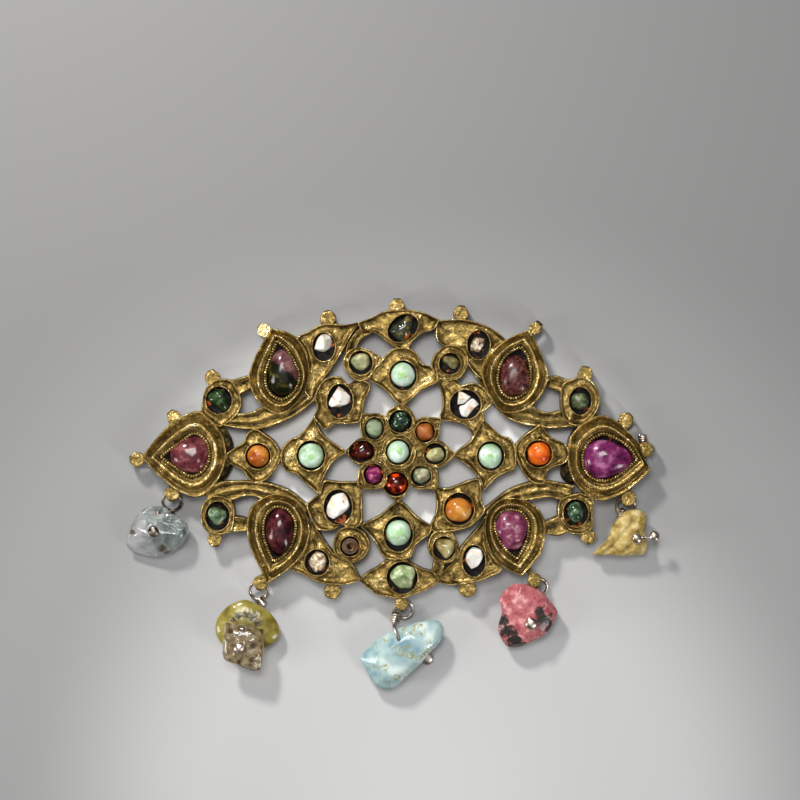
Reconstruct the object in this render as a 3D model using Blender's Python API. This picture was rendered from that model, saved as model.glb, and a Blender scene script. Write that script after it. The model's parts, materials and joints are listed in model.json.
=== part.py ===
"""Inlaid openwork brooch: gilt cells soldered side by side, domed stones set in
them, strap loops round the edge and five stone-bead pendants on silver wire.

Frame: the flat back lies on z = 0 with the face looking up +Z, +X to the
wearer's right of the face, +Y to its top. The origin is the middle of the back.

The plan is drawn in steps of a drawing grid that is GRID_WIDTH steps wide from
tip to tip, with its y axis pointing down; `metres` turns a step into metres.
"""

import math

import bmesh
import bpy
from mathutils import Vector

BROOCH_WIDTH = 0.120
GRID_WIDTH = 521.0
GRID_CENTRE = (400.0, 453.0)
STEP = BROOCH_WIDTH / GRID_WIDTH

RIM_HEIGHT = 0.0056
RIM_SPREAD = 0.00018
DISH_DROP = 0.0009
COLLAR_DROP = 0.0004
POCKET_FLOOR = 0.0026
CUTTER_TOP = 0.0090
DROP_RIM = 0.0060
DROP_CHANNEL = 0.0049
DROP_COLLAR = 0.0069
DROP_LIP = 0.0062
FIELD_HEIGHT = 0.0049
ARM_HEIGHT = 0.0051
LAYER_HEIGHT = 0.0034

CLEARANCE = 0.0003
STONE_BASE = POCKET_FLOOR + CLEARANCE
SHALLOW_CROWN = 0.0026
CHIP_CROWN = 0.0028
ROUGH_CROWN = 0.0030
OPAL_CROWN = 0.0032
CABOCHON_CROWN = 0.0034
TURQUOISE_CROWN = 0.0036
LOW_DROP_CROWN = 0.0044
DROP_CROWN = 0.0046

DISC_BOTTOM = 0.0038
DISC_TOP = 0.0046
STRAP_BOTTOM = 0.0006
STRAP_THICK = 0.0007
STRAP_WIDTH = 0.0018
STRAP_BACK = 0.0034
STRAP_BITE = 0.0003
RING_STRAP_WIDTH = 0.0013
SLOT_HALF = 0.0013

WIRE_RADIUS = 0.00036
WIRE_HEIGHT = 0.00255
RING_RADIUS = 0.0021
RING_DROP = 0.0020
NECK_RADIUS = 0.00055
NECK_LOW = 0.0008
BACK_WIRE = 0.0004
OVER_BEAD = 0.0006
BORE_RADIUS = 0.0008
BORE_OVERCUT = 0.001
BALL_RADIUS = 0.0012
BALL_END_RADIUS = 0.0006
BALL_FLAT = 0.0003
BALL_HALF = 0.0007
STUB_UP = 0.0034
STUB_DOWN = 0.0022
STUB_COIL_START = 0.0017
STUB_COIL_RADIUS = 0.00072

BEAD_BOTTOM = 0.0011
ROCK_CRYSTAL_TOP = 0.0066
YELLOW_GREEN_TOP = 0.0046
GREY_QUARTZ_BOTTOM = YELLOW_GREEN_TOP + CLEARANCE
GREY_QUARTZ_TOP = 0.0082
AQUA_TOP = 0.0068
RHODONITE_TOP = 0.0062
TWISTED_TOP = 0.0058

DROP_SIDES = 15
STONE_SIDES = 8
DROP_STONE_SIDES = 12
BEAD_SIDES = 12
DISC_SIDES = 8
BORE_SIDES = 6
WIRE_SIDES = 5

MERGE = 0.000001
FLAT_ANGLE = math.radians(0.2)

# Cell outlines, clockwise on the drawing; a third value marks a sharp corner.
# Pocket: centre x, y, width, height, turn in degrees.
CELLS = {
    "star_top": (
        [(403, 406, 1), (396, 402), (388, 393), (379, 386), (368, 380, 1), (370, 374),
         (378, 364), (386, 354.5), (394, 348.5), (403, 347), (411, 348.5), (418, 355),
         (423, 363.5), (430, 366), (438, 371, 1), (438, 381.5), (429, 386.5), (420, 391),
         (413, 398)],
        (403, 375.5, 27.5, 30, 0), 13,
    ),
    "star_left": (
        [(313.5, 417, 1), (318, 426), (325, 436), (334.7, 443.5), (347.5, 451.8, 1),
         (335, 460), (328, 470), (322, 482), (319.5, 494.5, 1), (309, 486), (302, 480),
         (296, 474), (285, 470.5), (280.5, 461), (280.4, 453), (284, 445), (290, 439.5),
         (298, 436), (304, 430), (310, 422)],
        (311, 455.5, 28.5, 30, 0), 13,
    ),
    "star_right": (
        [(482, 418, 1), (492, 427), (501, 435), (509, 437.5), (514, 443), (516.5, 452),
         (516.5, 462), (514, 469), (502, 474.5), (493, 481), (483.5, 491, 1), (480, 480),
         (472, 470.5), (463, 462.5), (451.5, 456, 1), (460, 448.5), (469, 441.5),
         (474, 434), (479, 427)],
        (490.6, 456, 27, 29.5, 0), 13,
    ),
    "star_bottom": (
        [(398, 500, 1), (406, 504.5), (413, 512), (421, 519), (432.5, 526, 1), (430, 534),
         (423, 539), (415.5, 546), (411, 557), (399, 560), (386, 558.5), (380, 551.5),
         (375, 542.5), (368, 533.5), (360, 525, 1), (371, 519.5), (381, 514), (390, 506)],
        (398.3, 534, 29, 35, 0), 13,
    ),
    "corner_upper_left": (
        [(314.5, 398), (317, 389), (323, 380.5), (332, 376.5), (342, 377.5), (347.5, 384),
         (356, 379.5), (364, 380), (371, 385), (368, 394), (364, 403), (363, 413),
         (360, 421.5), (349, 424), (335, 424.5), (326, 430), (318, 424), (313.5, 417),
         (317, 408)],
        (340, 401, 26, 34, 0), 13,
    ),
    "corner_upper_right": (
        [(438.5, 378.5), (449, 377.5), (456, 379), (461, 385), (471, 382.5), (481, 385),
         (488, 392), (493, 401), (488, 408), (483.5, 413), (484.5, 420), (478.5, 428),
         (473.5, 434.5), (466, 426), (457, 422.5), (447, 421), (439.5, 419), (442, 408),
         (442, 396), (439.5, 387)],
        (465.4, 404.5, 31, 29.5, 0), 13,
    ),
    "corner_lower_left": (
        [(306.5, 504), (313, 498.5), (319.5, 492.5), (322, 484), (326, 480), (340, 481.5),
         (352, 481.5), (363, 482), (362.5, 493), (362.5, 507), (362.5, 520), (358, 527),
         (348, 527.5), (341, 524.5), (333, 530), (319, 530), (312.5, 522), (308.5, 513)],
        (338, 507, 28.5, 35, 0), 13,
    ),
    "corner_lower_right": (
        [(433.5, 486.5), (446, 488), (457, 485), (468, 480.5), (479.5, 479), (481.5, 490),
         (481, 499.5), (485.5, 509), (481, 517), (472, 525.5), (460, 530), (446, 532.5),
         (433, 531.5), (430.5, 525), (435, 514), (436.5, 503), (434.5, 494)],
        (459, 509, 30, 32.5, 0), 13,
    ),
    "ring_upper_left": (
        [(343, 363), (344.5, 356), (350, 350), (358, 347.5), (367, 349), (375, 353.5),
         (381.5, 358), (377, 367), (370, 377), (361, 382), (352, 378), (346, 371)],
        (360.8, 362.8, 23.5, 24, 0), 9,
    ),
    "ring_upper_right": (
        [(447, 345), (438, 350.5), (432.5, 358), (430.5, 366), (434, 374), (441, 380),
         (451, 381), (460, 378), (466, 370), (468.5, 361), (466, 352), (458, 346)],
        (450, 363.7, 21.5, 21.5, 0), 9,
    ),
    "ring_lower_left": (
        [(333, 545), (335, 536), (340, 529), (349, 526.5), (358, 528.5), (365, 533),
         (370, 542), (368.5, 551), (362, 559), (352, 563), (341, 559.5), (334, 553)],
        (350, 546.5, 20, 20, 0), 9,
    ),
    "ring_lower_right": (
        [(427.5, 549), (428.5, 540), (433, 532.5), (443, 529.5), (451, 531.5), (457, 540),
         (459, 548), (457.5, 556), (451, 562), (443, 563), (434, 559.5)],
        (444.2, 548.4, 23, 24, 0), 9,
    ),
    "leaf_upper_left": (
        [(297, 338), (309, 331), (320, 325), (332, 323.5), (345, 324.5), (361.5, 321.5, 1),
         (352, 334), (344, 349), (337, 361), (328, 373), (318, 385.5), (310, 399, 1),
         (304, 390), (307.5, 377), (307.5, 364), (304, 350)],
        (323.8, 347, 22.5, 28.5, 0), 12,
    ),
    "leaf_upper_right": (
        [(436.5, 321, 1), (449, 319.5), (462, 319), (475, 321.5), (487, 326), (498, 332.5),
         (507, 340.5, 1), (496, 349), (488, 358), (484, 368), (482, 379), (472, 371),
         (464, 358), (455, 350), (444, 346), (436, 338)],
        (478.6, 344.7, 22.5, 29, 0), 12,
    ),
    "leaf_lower_left": (
        [(290, 568.5), (300, 573), (312, 579.5), (323, 583.5), (337, 585), (349, 584),
         (361.5, 580.5, 1), (357, 571), (350, 561), (338, 556), (331, 549), (324, 539),
         (317, 529), (312, 519, 1), (309, 533), (306, 547), (298, 560)],
        (317, 562.5, 24.5, 26, 0), 12,
    ),
    "leaf_lower_right": (
        [(435.5, 582, 1), (447, 585), (462, 584.5), (477, 582), (490, 577), (502, 570),
         (496, 560), (488, 548), (486.5, 534), (486, 515, 1), (478, 527), (469, 537),
         (461, 547), (457, 557), (450, 565), (441, 574)],
        (474, 561, 23, 31.5, 0), 12,
    ),
    "top": (
        [(357.5, 322.5, 1), (370, 318), (384, 311.5), (398, 309.5), (412, 310),
         (426, 313.5), (440, 320, 1), (434, 329), (421, 334), (413, 341), (408, 347.5),
         (402, 349.5), (395, 347), (388, 343), (380, 336), (371, 332), (361, 330)],
        (403, 328, 33, 24.5, 37), 12,
    ),
    "bottom": (
        [(359, 580, 1), (368, 572), (377, 567), (386, 560), (395, 557), (404, 558.5),
         (413, 563.5), (424, 569), (434, 572), (440, 579.5, 1), (434, 585.5), (424, 591),
         (413, 595), (401, 598.5), (389, 597.5), (377, 594.5), (368, 588.5)],
        (402.3, 577.8, 31, 32, 0), 12,
    ),
    "coral_left": (
        [(225.5, 454, 1), (236, 447), (243, 442), (247, 434), (255, 428.5), (264, 433),
         (274, 440.5), (280, 450), (282, 457), (275, 470), (266, 480), (256, 483.5),
         (248.5, 479), (243, 471), (233, 465.5), (226, 460.5)],
        (258, 456.2, 25, 25.5, 0), 12,
    ),
    "coral_right": (
        [(540.5, 423.5, 1), (546, 431), (552, 437.5), (560, 441), (567.5, 446), (569.5, 455),
         (565, 463), (554, 467), (547, 472.5), (545, 483), (535, 484), (527, 478),
         (520.5, 468), (516, 457), (515, 446), (521, 438), (530, 430.5)],
        (538.6, 453.8, 27, 27, 0), 12,
    ),
    "end_upper_left": (
        [(202, 413.5), (202.5, 400), (205.5, 389), (212, 382), (221, 379), (231, 380),
         (237, 388), (240.5, 396), (241, 407), (236, 416), (228, 423), (219, 427),
         (209.5, 420)],
        (218.8, 400.2, 26, 27, 0), 12,
    ),
    "end_upper_right": (
        [(561, 388), (565, 382), (572, 379), (581, 376.5), (590, 379.5), (597, 388),
         (600, 400), (597, 411), (590, 420), (580, 426), (571, 425), (564, 419),
         (561, 408), (560.5, 397)],
        (580.3, 400.8, 22, 27.5, 0), 12,
    ),
    "end_lower_left": (
        [(201, 519), (201, 509), (205, 501), (213, 495.5), (223, 496), (231, 500.5),
         (234.5, 509), (234.5, 521), (231, 531.5), (221, 534.5), (210, 533.5),
         (203.5, 527)],
        (217.5, 516, 24, 29, 0), 12,
    ),
    "end_lower_right": (
        [(560, 500), (570, 495), (582, 493), (593.5, 500), (592.5, 513), (592.5, 527),
         (586, 533.5), (574, 534.5), (565, 530.5), (559, 521), (557.5, 511)],
        (575.8, 513, 25, 27.5, 0), 12,
    ),
    "petal_top": (
        [(403, 402, 1), (410, 409), (415, 418), (414, 428), (406, 435), (396, 436),
         (388, 430), (385, 421), (387, 412), (395, 406)],
        (400.4, 421.5, 23.5, 22.5, 0), 9,
    ),
    "petal_upper_right": (
        [(413, 422), (421, 417.5), (430, 417), (441.5, 418, 1), (440, 428), (438, 438),
         (431, 444), (420, 443), (414, 436), (411.5, 429)],
        (425, 432, 20, 21, 0), 9,
    ),
    "petal_right": (
        [(456, 454.5, 1), (449, 461), (441, 467), (431, 467), (424, 461), (421.5, 453),
         (424, 445), (432, 440), (441, 441), (449, 447.5)],
        (435.2, 453.8, 22.5, 21.5, 0), 9,
    ),
    "petal_lower_right": (
        [(409, 476), (412, 467.5), (420, 463), (430, 464), (437, 470), (439, 480),
         (436.5, 488.5), (427, 489.5), (417, 489), (410, 484)],
        (421, 476, 20.5, 20.5, 0), 9,
    ),
    "petal_bottom": (
        [(398.5, 503, 1), (391, 497), (384.5, 491), (382, 483), (384.5, 475), (391, 470),
         (401, 470), (408, 475.5), (410.5, 484), (407, 492)],
        (396, 484, 25, 24.5, 0), 9,
    ),
    "petal_lower_left": (
        [(357, 484), (359, 470), (364, 463), (372, 459.5), (381, 462), (386.5, 469),
         (387, 480), (383, 487.5), (373, 489.5), (363, 488.5)],
        (373.7, 474.5, 20, 22, 0), 9,
    ),
    "petal_left": (
        [(344.5, 452, 1), (351, 445), (358, 439), (366, 437.5), (373, 441), (377.5, 449),
         (376, 458), (370, 463), (361, 466), (352, 460.5)],
        (362, 451.5, 26, 22, 0), 9,
    ),
    "petal_upper_left": (
        [(361, 415), (370, 413.5), (379, 413.5), (385, 417), (388.5, 426), (387.5, 436),
         (381, 442), (372, 442.5), (363, 438), (360, 427)],
        (374.3, 428.5, 19.5, 22.5, 0), 9,
    ),
    "centre": (
        [(381, 451.7), (384, 442), (391.5, 435.5), (401, 434), (410, 438), (415.5, 446),
         (415.5, 457), (410.5, 465), (402, 469.5), (392, 468), (384.5, 461.5)],
        (398.3, 452, 25.5, 26, 0), 9,
    ),
}

# Teardrop cells: outline, then the edge of the pocket, both starting at the tip.
DROPS = {
    "drop_left": (
        [(142, 457.5, 1), (150, 446), (161, 433), (170, 424), (180, 417), (190, 412.5),
         (200, 411), (208, 416.5), (217, 426), (223.5, 436), (226.5, 450), (225.5, 463),
         (220, 477), (212, 488), (203, 495.5), (194, 497), (181, 492.5), (168, 483.5),
         (155, 472)],
        [(159, 457, 1), (172, 446), (184, 437.5), (196, 431.5), (206, 438), (211, 450),
         (210.5, 462), (204, 473), (193, 478), (181, 473.5), (170, 465.5)],
    ),
    "drop_upper_left": (
        [(271, 328.5, 1), (284, 331), (297, 337.5), (305, 350), (309, 364), (309, 380),
         (303, 394), (293, 407), (280, 415), (268, 410), (258, 401), (251, 389),
         (249, 375), (255, 357), (263, 342)],
        [(277, 339, 1), (287, 347), (295, 359), (301, 374), (299, 387), (290, 398),
         (281, 401), (270, 396), (264, 384), (264.5, 370), (270, 355)],
    ),
    "drop_upper_right": (
        [(529, 329.5, 1), (534, 338), (541, 353), (546, 366), (548.5, 376), (546, 386),
         (540, 397), (530, 407), (516, 413), (503, 412.5), (495, 404), (487, 391),
         (482, 378), (482, 366), (489, 354), (500, 344), (514, 335.5)],
        [(521, 345, 1), (528.5, 354), (532, 368), (532, 381), (526, 394), (515, 400),
         (504, 397.5), (497, 387), (496, 375), (500, 361), (509, 350.5)],
    ),
    "drop_right": (
        [(650.5, 470, 1), (640, 480), (626, 491.5), (609, 499), (596, 500.5), (584, 493),
         (574.5, 482.5), (568.5, 468), (567.5, 453), (569.5, 438), (577, 427.5),
         (588, 419.5), (599, 415), (609, 417), (620, 423.5), (630, 433.5), (639, 444),
         (643.5, 456)],
        [(639, 460, 1), (628, 470), (616, 479), (605, 482.5), (592, 480), (583, 471),
         (580.5, 459), (582.5, 448), (590, 438), (603, 432), (618, 437), (631, 447)],
    ),
    "drop_lower_left": (
        [(267, 584, 1), (261, 570), (253, 554), (248, 538), (247, 522), (251, 507),
         (260, 499), (273, 494), (287, 495.5), (299, 503), (307, 515), (310, 530),
         (307, 546), (299, 559), (290, 568), (278, 577)],
        [(273, 563, 1), (266, 549), (262, 535), (262.5, 520), (269, 508.5), (279, 504.5),
         (290, 509), (297, 521), (297, 535), (291.5, 549), (283, 558.5)],
    ),
    "drop_lower_right": (
        [(522, 576, 1), (508, 570), (497, 562), (489, 549), (485, 534), (485.5, 519),
         (492, 506), (503, 498.5), (516, 498), (528, 501.5), (538, 508.5), (544.5, 520),
         (545.5, 534), (541.5, 552), (533.5, 563)],
        [(517.5, 561, 1), (507, 553), (498, 542), (493.5, 529), (494.5, 517), (502, 509.5),
         (513, 507.5), (523, 511.5), (530, 522), (529.5, 537), (524.5, 550)],
    ),
}

# Soldered strips: one edge, then the other, point for point.
STRIPS = {
    "arm_upper_left": (
        [(221, 415), (238, 413.5), (250, 412.3), (260, 407.5), (270, 403.5), (284, 404),
         (298, 398), (309, 390)],
        [(219, 424.5), (234, 428), (248, 429.5), (263, 429), (277, 424.5), (293, 417),
         (307, 407), (316, 399)],
    ),
    "arm_upper_right": (
        [(498, 396), (506, 404), (517, 408), (531, 405.5), (541, 410.5), (551, 412),
         (562, 409.5), (573, 412)],
        [(491.5, 401), (500, 412.5), (511, 420), (522, 424.5), (535, 426.5), (548, 428.5),
         (562, 428), (577, 426)],
    ),
    "arm_lower_left": (
        [(203, 494), (213, 485), (224, 481), (236, 480.5), (250, 480.8), (265, 482),
         (279, 485.5), (291, 491), (301, 499), (310, 507)],
        [(212, 502), (221, 501.5), (229, 501), (236, 499.5), (244, 496.5), (254, 496.5),
         (264, 500), (278, 503), (291, 508), (303, 516)],
    ),
    "arm_lower_right": (
        [(484, 508.5), (495, 499.5), (506, 491), (519, 485), (533, 481), (547, 480),
         (559, 482), (574, 485)],
        [(490, 518), (500, 509), (511, 503), (522, 501.5), (536, 499.5), (548, 497.5),
         (560, 500), (569, 503)],
    ),
    "band_top_left": (
        [(344.5, 358), (347, 345), (353, 335), (361, 326.5)],
        [(357, 353), (358, 345), (363, 338), (372, 333)],
    ),
    "tail_upper_right": (
        [(471.5, 370), (480, 384), (486, 393), (491, 401)],
        [(482, 368), (486, 381), (492, 393), (499, 403)],
    ),
    "link_upper_left": (
        [(229, 380.5), (240, 377.5), (254, 373)],
        [(232, 397), (242, 394), (254, 386)],
    ),
    "link_upper_right": (
        [(545, 378), (556, 375.5), (567, 379), (575, 380)],
        [(545, 386), (555, 390), (563, 393.5), (571, 393)],
    ),
    "link_lower_left": (
        [(227.5, 518.5), (238, 516), (250, 519.5)],
        [(227, 531.5), (239, 532.5), (250, 530)],
    ),
    "link_lower_right": (
        [(543, 522), (555, 517), (563, 511)],
        [(543, 533.5), (558, 536), (569, 532)],
    ),
    "strut_lower_right": (
        [(434, 558), (431, 574)],
        [(446, 561), (442, 576)],
    ),
}

FIELD = [(379, 420), (412, 423), (430, 433), (432, 468), (415, 482), (384, 481),
         (368, 470), (364, 445)]
LAYERS_LEFT = [(214, 424), (225, 430), (231.5, 442), (232.5, 457), (230, 470),
               (222, 482), (212, 487), (206, 455)]
LAYERS_RIGHT = [(574, 458), (563.5, 465), (561.5, 473), (564, 480), (573, 485),
                (582, 472)]

# Strap loops: disc centre x, y, outward direction in degrees, disc radius.
LOOPS = [
    (397, 306.5, 90, 7.8), (328, 318.5, 100, 8.0), (264.5, 330.5, 135, 7.3),
    (212.5, 378, 112, 7.9), (174, 418, 128, 7.4), (137, 459.5, 180, 7.4),
    (214.6, 539, 268, 7.6), (332.5, 591, 270, 8.6), (467.5, 589, 272, 8.8),
    (588, 536.5, 292, 7.6), (646, 449.5, 10, 7.6), (626, 420.5, 42, 7.8),
    (585.5, 374.5, 82, 7.8), (535.5, 328.5, 52, 6.4), (461, 313.5, 85, 7.6),
]
# Loops that carry a pendant: disc centre x, y, outward direction, disc radius.
PENDANT_LOOPS = {
    "rock_crystal": (171.5, 493.5, 262, 7.4),
    "double": (260.5, 583, 252, 7.4),
    "aqua": (401.5, 603.5, 270, 7.0),
    "rhodonite": (534.5, 580.5, 300, 7.2),
    "twisted": (629, 498.5, 258, 7.6),
}
# Each pendant's wire: centre of its ring, the two ends of its wound neck, the
# route of its shank (0 behind the bead, 1 over it) and its bore through the bead.
WIRES = {
    "rock_crystal": (
        (170.2, 502.5), [(169, 511), (166.5, 518)],
        [(165, 521, 0), (157, 529, 0), (154.5, 531, 0.1), (154.5, 531, 1)], (154.5, 531),
    ),
    "double": (
        (257.7, 591.7), [(257.5, 600), (262.5, 606.5)],
        [(258, 613, 0), (242, 643, 0), (240, 646, 0.1), (240, 646, 1)], (240, 646),
    ),
    "aqua": (
        (403.8, 611), [(396.4, 614), (394.5, 623.5)],
        [(394, 625, 0.1), (394, 626, 0.9), (395, 629, 1), (397.8, 636.5, 1),
         (398.2, 638, 0.9), (398.2, 638, 0.1), (401, 641, 0), (427, 660, 0.05)], (398.2, 638),
    ),
    "rhodonite": (
        (539, 588.4), [(540.5, 597), (540, 604)],
        [(538, 610, 0), (532, 620.5, 0), (530.7, 622.7, 0.1), (530.7, 622.7, 1)],
        (530.7, 622.7),
    ),
    "twisted": (
        (627.1, 507.4), [(625.4, 510), (622.4, 517)],
        [(627, 526, 0), (635, 536, 0), (636.5, 538, 0.1), (636.5, 538, 1)], (636.5, 538),
    ),
}

# Where the spare end of the twisted bead's wire curls to.
CURL_END = (654, 536)

# Stones: x, y, width, height, turn in degrees, egg (+ narrows the top), squareness,
# height of the crown.
STONES = {
    "stone_centre": (398, 452, 22, 22.5, 0, 0.0, 2.0, CABOCHON_CROWN),
    "stone_petal_top": (400, 421.5, 20, 19, 0, 0.0, 2.2, SHALLOW_CROWN),
    "stone_petal_upper_right": (425, 432, 16.6, 17.6, 12, 0.0, 3.2, ROUGH_CROWN),
    "stone_petal_right": (435.2, 455, 19, 16, -4, 0.0, 2.6, CHIP_CROWN),
    "stone_petal_lower_right": (421, 475.8, 16.6, 16, 0, 0.0, 2.4, CHIP_CROWN),
    "stone_petal_bottom": (396, 484, 21.5, 21, 0, 0.0, 2.0, OPAL_CROWN),
    "stone_petal_lower_left": (373.6, 474.5, 16.4, 17.5, 0, 0.0, 2.0, ROUGH_CROWN),
    "stone_petal_left": (362, 451.3, 22, 18.6, 12, 0.0, 2.2, CHIP_CROWN),
    "stone_petal_upper_left": (374.2, 428.5, 16, 19, 0, 0.0, 2.2, CHIP_CROWN),
    "stone_star_top": (403, 374.6, 24, 24, 0, 0.0, 2.0, TURQUOISE_CROWN),
    "stone_star_left": (311, 455.8, 25, 25, 0, 0.0, 2.1, TURQUOISE_CROWN),
    "stone_star_right": (490.4, 456, 23.4, 25, 0, 0.0, 2.0, TURQUOISE_CROWN),
    "stone_star_bottom": (398.4, 533, 25, 25.5, 0, 0.0, 2.1, TURQUOISE_CROWN),
    "stone_corner_upper_left": (339.7, 396.5, 20, 22, 30, -0.1, 2.6, ROUGH_CROWN),
    "stone_corner_upper_right_a": (464.5, 396.2, 15.5, 8.5, -28, 0.0, 2.6, CHIP_CROWN),
    "stone_corner_upper_right_b": (468.6, 408.3, 20, 9.5, 38, 0.0, 2.6, CHIP_CROWN),
    "stone_corner_lower_left": (338.3, 505.5, 23, 27, -8, 0.0, 2.4, ROUGH_CROWN),
    "stone_corner_lower_right": (458.6, 510, 26.4, 24, 0, 0.0, 2.2, TURQUOISE_CROWN),
    "stone_ring_upper_left": (360.2, 362.6, 19, 18.6, 0, 0.0, 2.2, CHIP_CROWN),
    "stone_ring_upper_right": (450.2, 363.5, 17, 17.6, 0, 0.0, 2.2, CHIP_CROWN),
    "stone_ring_lower_left": (349.9, 546.6, 16.6, 16.6, 0, 0.0, 2.0, SHALLOW_CROWN),
    "stone_ring_lower_right": (444.2, 548.6, 19.6, 20.6, 0, -0.12, 2.1, ROUGH_CROWN),
    "stone_leaf_upper_left": (323.2, 343.6, 18, 18.6, 0, 0.0, 2.3, CHIP_CROWN),
    "stone_leaf_upper_right": (478.2, 344.4, 16.4, 15.6, 25, 0.0, 2.2, SHALLOW_CROWN),
    "stone_leaf_lower_left": (317, 562, 20, 20.6, 30, 0.0, 2.3, CHIP_CROWN),
    "stone_leaf_lower_right": (474.2, 558.6, 19, 22.6, 8, 0.0, 2.6, CHIP_CROWN),
    "stone_top": (403, 328, 29.4, 20.6, 37, 0.0, 2.1, CABOCHON_CROWN),
    "stone_bottom": (402.3, 577.6, 26.6, 27.4, 40, 0.0, 2.5, CABOCHON_CROWN),
    "stone_coral_left": (258, 456.3, 22, 22.4, 0, 0.0, 2.0, CABOCHON_CROWN),
    "stone_coral_right": (539.3, 453.8, 23, 24, 0, 0.0, 2.1, CABOCHON_CROWN),
    "stone_end_upper_left": (218.5, 400.4, 21.6, 22.2, 0, 0.0, 2.2, ROUGH_CROWN),
    "stone_end_upper_right": (580.5, 401.2, 18, 18, 0, 0.0, 2.1, CHIP_CROWN),
    "stone_end_lower_left": (217.3, 516, 19.4, 20.4, 0, -0.1, 2.2, ROUGH_CROWN),
    "stone_end_lower_right": (575.7, 512.3, 15.8, 21.6, 0, 0.0, 2.1, ROUGH_CROWN),
    "stone_drop_left": (189.6, 455, 35.5, 41, 90, 0.22, 2.3, LOW_DROP_CROWN),
    "stone_drop_upper_left": (283, 373, 31, 47, 0, 0.16, 2.1, DROP_CROWN),
    "stone_drop_upper_right": (515, 376, 30.5, 41.5, 0, 0.14, 2.2, DROP_CROWN),
    "stone_drop_right": (608, 459.3, 37.5, 49, -90, 0.30, 2.1, DROP_CROWN),
    "stone_drop_lower_left": (280, 531.2, 29, 48, 0, 0.0, 2.05, DROP_CROWN),
    "stone_drop_lower_right": (511.8, 530.2, 31.5, 40, 0, -0.14, 2.2, LOW_DROP_CROWN),
}

# Beads: outline, bottom, top.
BEADS = {
    "bead_rock_crystal": (
        [(142, 512), (151, 507), (164, 506), (172, 513), (185.5, 519.5), (188, 531),
         (181.6, 544), (164, 556.5), (151, 561), (138, 557), (128, 553), (124, 542.5),
         (129, 528.5), (135, 519)],
        BEAD_BOTTOM, ROCK_CRYSTAL_TOP, "rock_crystal",
    ),
    "bead_yellow_green": (
        [(215, 630), (218, 618), (227, 608), (238, 602), (247, 600.5), (256, 604),
         (265, 609), (273, 617), (278, 626), (278, 636), (272, 644), (264, 649),
         (250, 657), (236, 657), (224, 648), (217, 639)],
        BEAD_BOTTOM, YELLOW_GREEN_TOP, "double",
    ),
    "bead_grey_quartz": (
        [(227, 621.5), (239, 623), (253, 624), (261, 633), (264, 645), (263, 656),
         (260, 668), (255, 671.5), (238, 665), (224, 658.5), (223.5, 645), (224.5, 630)],
        GREY_QUARTZ_BOTTOM, GREY_QUARTZ_TOP, "double",
    ),
    "bead_aqua": (
        [(434, 621), (442, 627), (441, 641), (427, 656), (409, 675), (391, 688),
         (379, 686), (370, 677), (360, 661), (363, 654), (381, 638), (404, 625)],
        BEAD_BOTTOM, AQUA_TOP, "aqua",
    ),
    "bead_rhodonite": (
        [(509, 586), (525, 584), (543, 593), (556, 607.5), (557.5, 616), (547, 634),
         (531, 643), (518, 650), (506, 647), (499, 634), (499, 624), (502, 613),
         (500, 597)],
        BEAD_BOTTOM, RHODONITE_TOP, "rhodonite",
    ),
    "bead_twisted": (
        [(622, 516), (631, 511), (641, 510), (647, 516), (644.5, 533), (648, 550.5),
         (643, 558), (619, 556.6), (596, 555.7), (594.6, 552), (606.6, 540), (613.5, 526)],
        BEAD_BOTTOM, TWISTED_TOP, "twisted",
    ),
}


def metres(point):
    """A drawing point as x, y in metres."""
    return ((point[0] - GRID_CENTRE[0]) * STEP, (GRID_CENTRE[1] - point[1]) * STEP)


def turned(points):
    """The points, clockwise on the drawing, with the first one kept first."""
    area = 0.0
    for a, b in zip(points, points[1:] + points[:1]):
        area += a[0] * b[1] - b[0] * a[1]
    if area > 0:
        return list(points)
    return [points[0]] + list(reversed(points[1:]))


def smooth(points, per):
    """A closed curve through the points, sharp where a point is marked."""
    points = turned(points)
    count = len(points)
    curve = []
    for i in range(count):
        p0, p1 = points[i - 1], points[i]
        p2, p3 = points[(i + 1) % count], points[(i + 2) % count]
        if len(p1) > 2:
            p0 = p1
        if len(p2) > 2:
            p3 = p2
        for k in range(per):
            t = k / per
            w = (
                (-t + 2 * t * t - t ** 3) / 2,
                (2 - 5 * t * t + 3 * t ** 3) / 2,
                (t + 4 * t * t - 3 * t ** 3) / 2,
                (-t * t + t ** 3) / 2,
            )
            x = w[0] * p0[0] + w[1] * p1[0] + w[2] * p2[0] + w[3] * p3[0]
            y = w[0] * p0[1] + w[1] * p1[1] + w[2] * p2[1] + w[3] * p3[1]
            curve.append((x, y, len(p1) > 2 and k == 0))
    return curve


def resampled(points, count):
    """The smooth curve cut into `count` nearly equal chords that keep its corners."""
    curve = smooth(points, 12)
    starts = [i for i, p in enumerate(curve) if p[2]] or [0]
    size = len(curve)
    lengths = []
    arcs = []
    for n, start in enumerate(starts):
        end = starts[(n + 1) % len(starts)]
        span = (end - start) % size or size
        arc = [curve[(start + k) % size] for k in range(span + 1)]
        total = sum(math.dist(a[:2], b[:2]) for a, b in zip(arc, arc[1:]))
        arcs.append(arc)
        lengths.append(total)
    whole = sum(lengths)
    shares = [max(2, round(count * length / whole)) for length in lengths]
    while sum(shares) != count:
        order = sorted(range(len(shares)), key=lambda i: shares[i])
        shares[order[-1]] += 1 if sum(shares) < count else -1
    result = []
    for arc, length, share in zip(arcs, lengths, shares):
        step = length / share
        target = 0.0
        travelled = 0.0
        taken = 0
        for a, b in zip(arc, arc[1:]):
            piece = math.dist(a[:2], b[:2])
            while taken < share and travelled + piece >= target - 1e-9:
                f = (target - travelled) / piece if piece else 0.0
                result.append((a[0] + (b[0] - a[0]) * f, a[1] + (b[1] - a[1]) * f))
                taken += 1
                target += step
            travelled += piece
    return result


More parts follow.
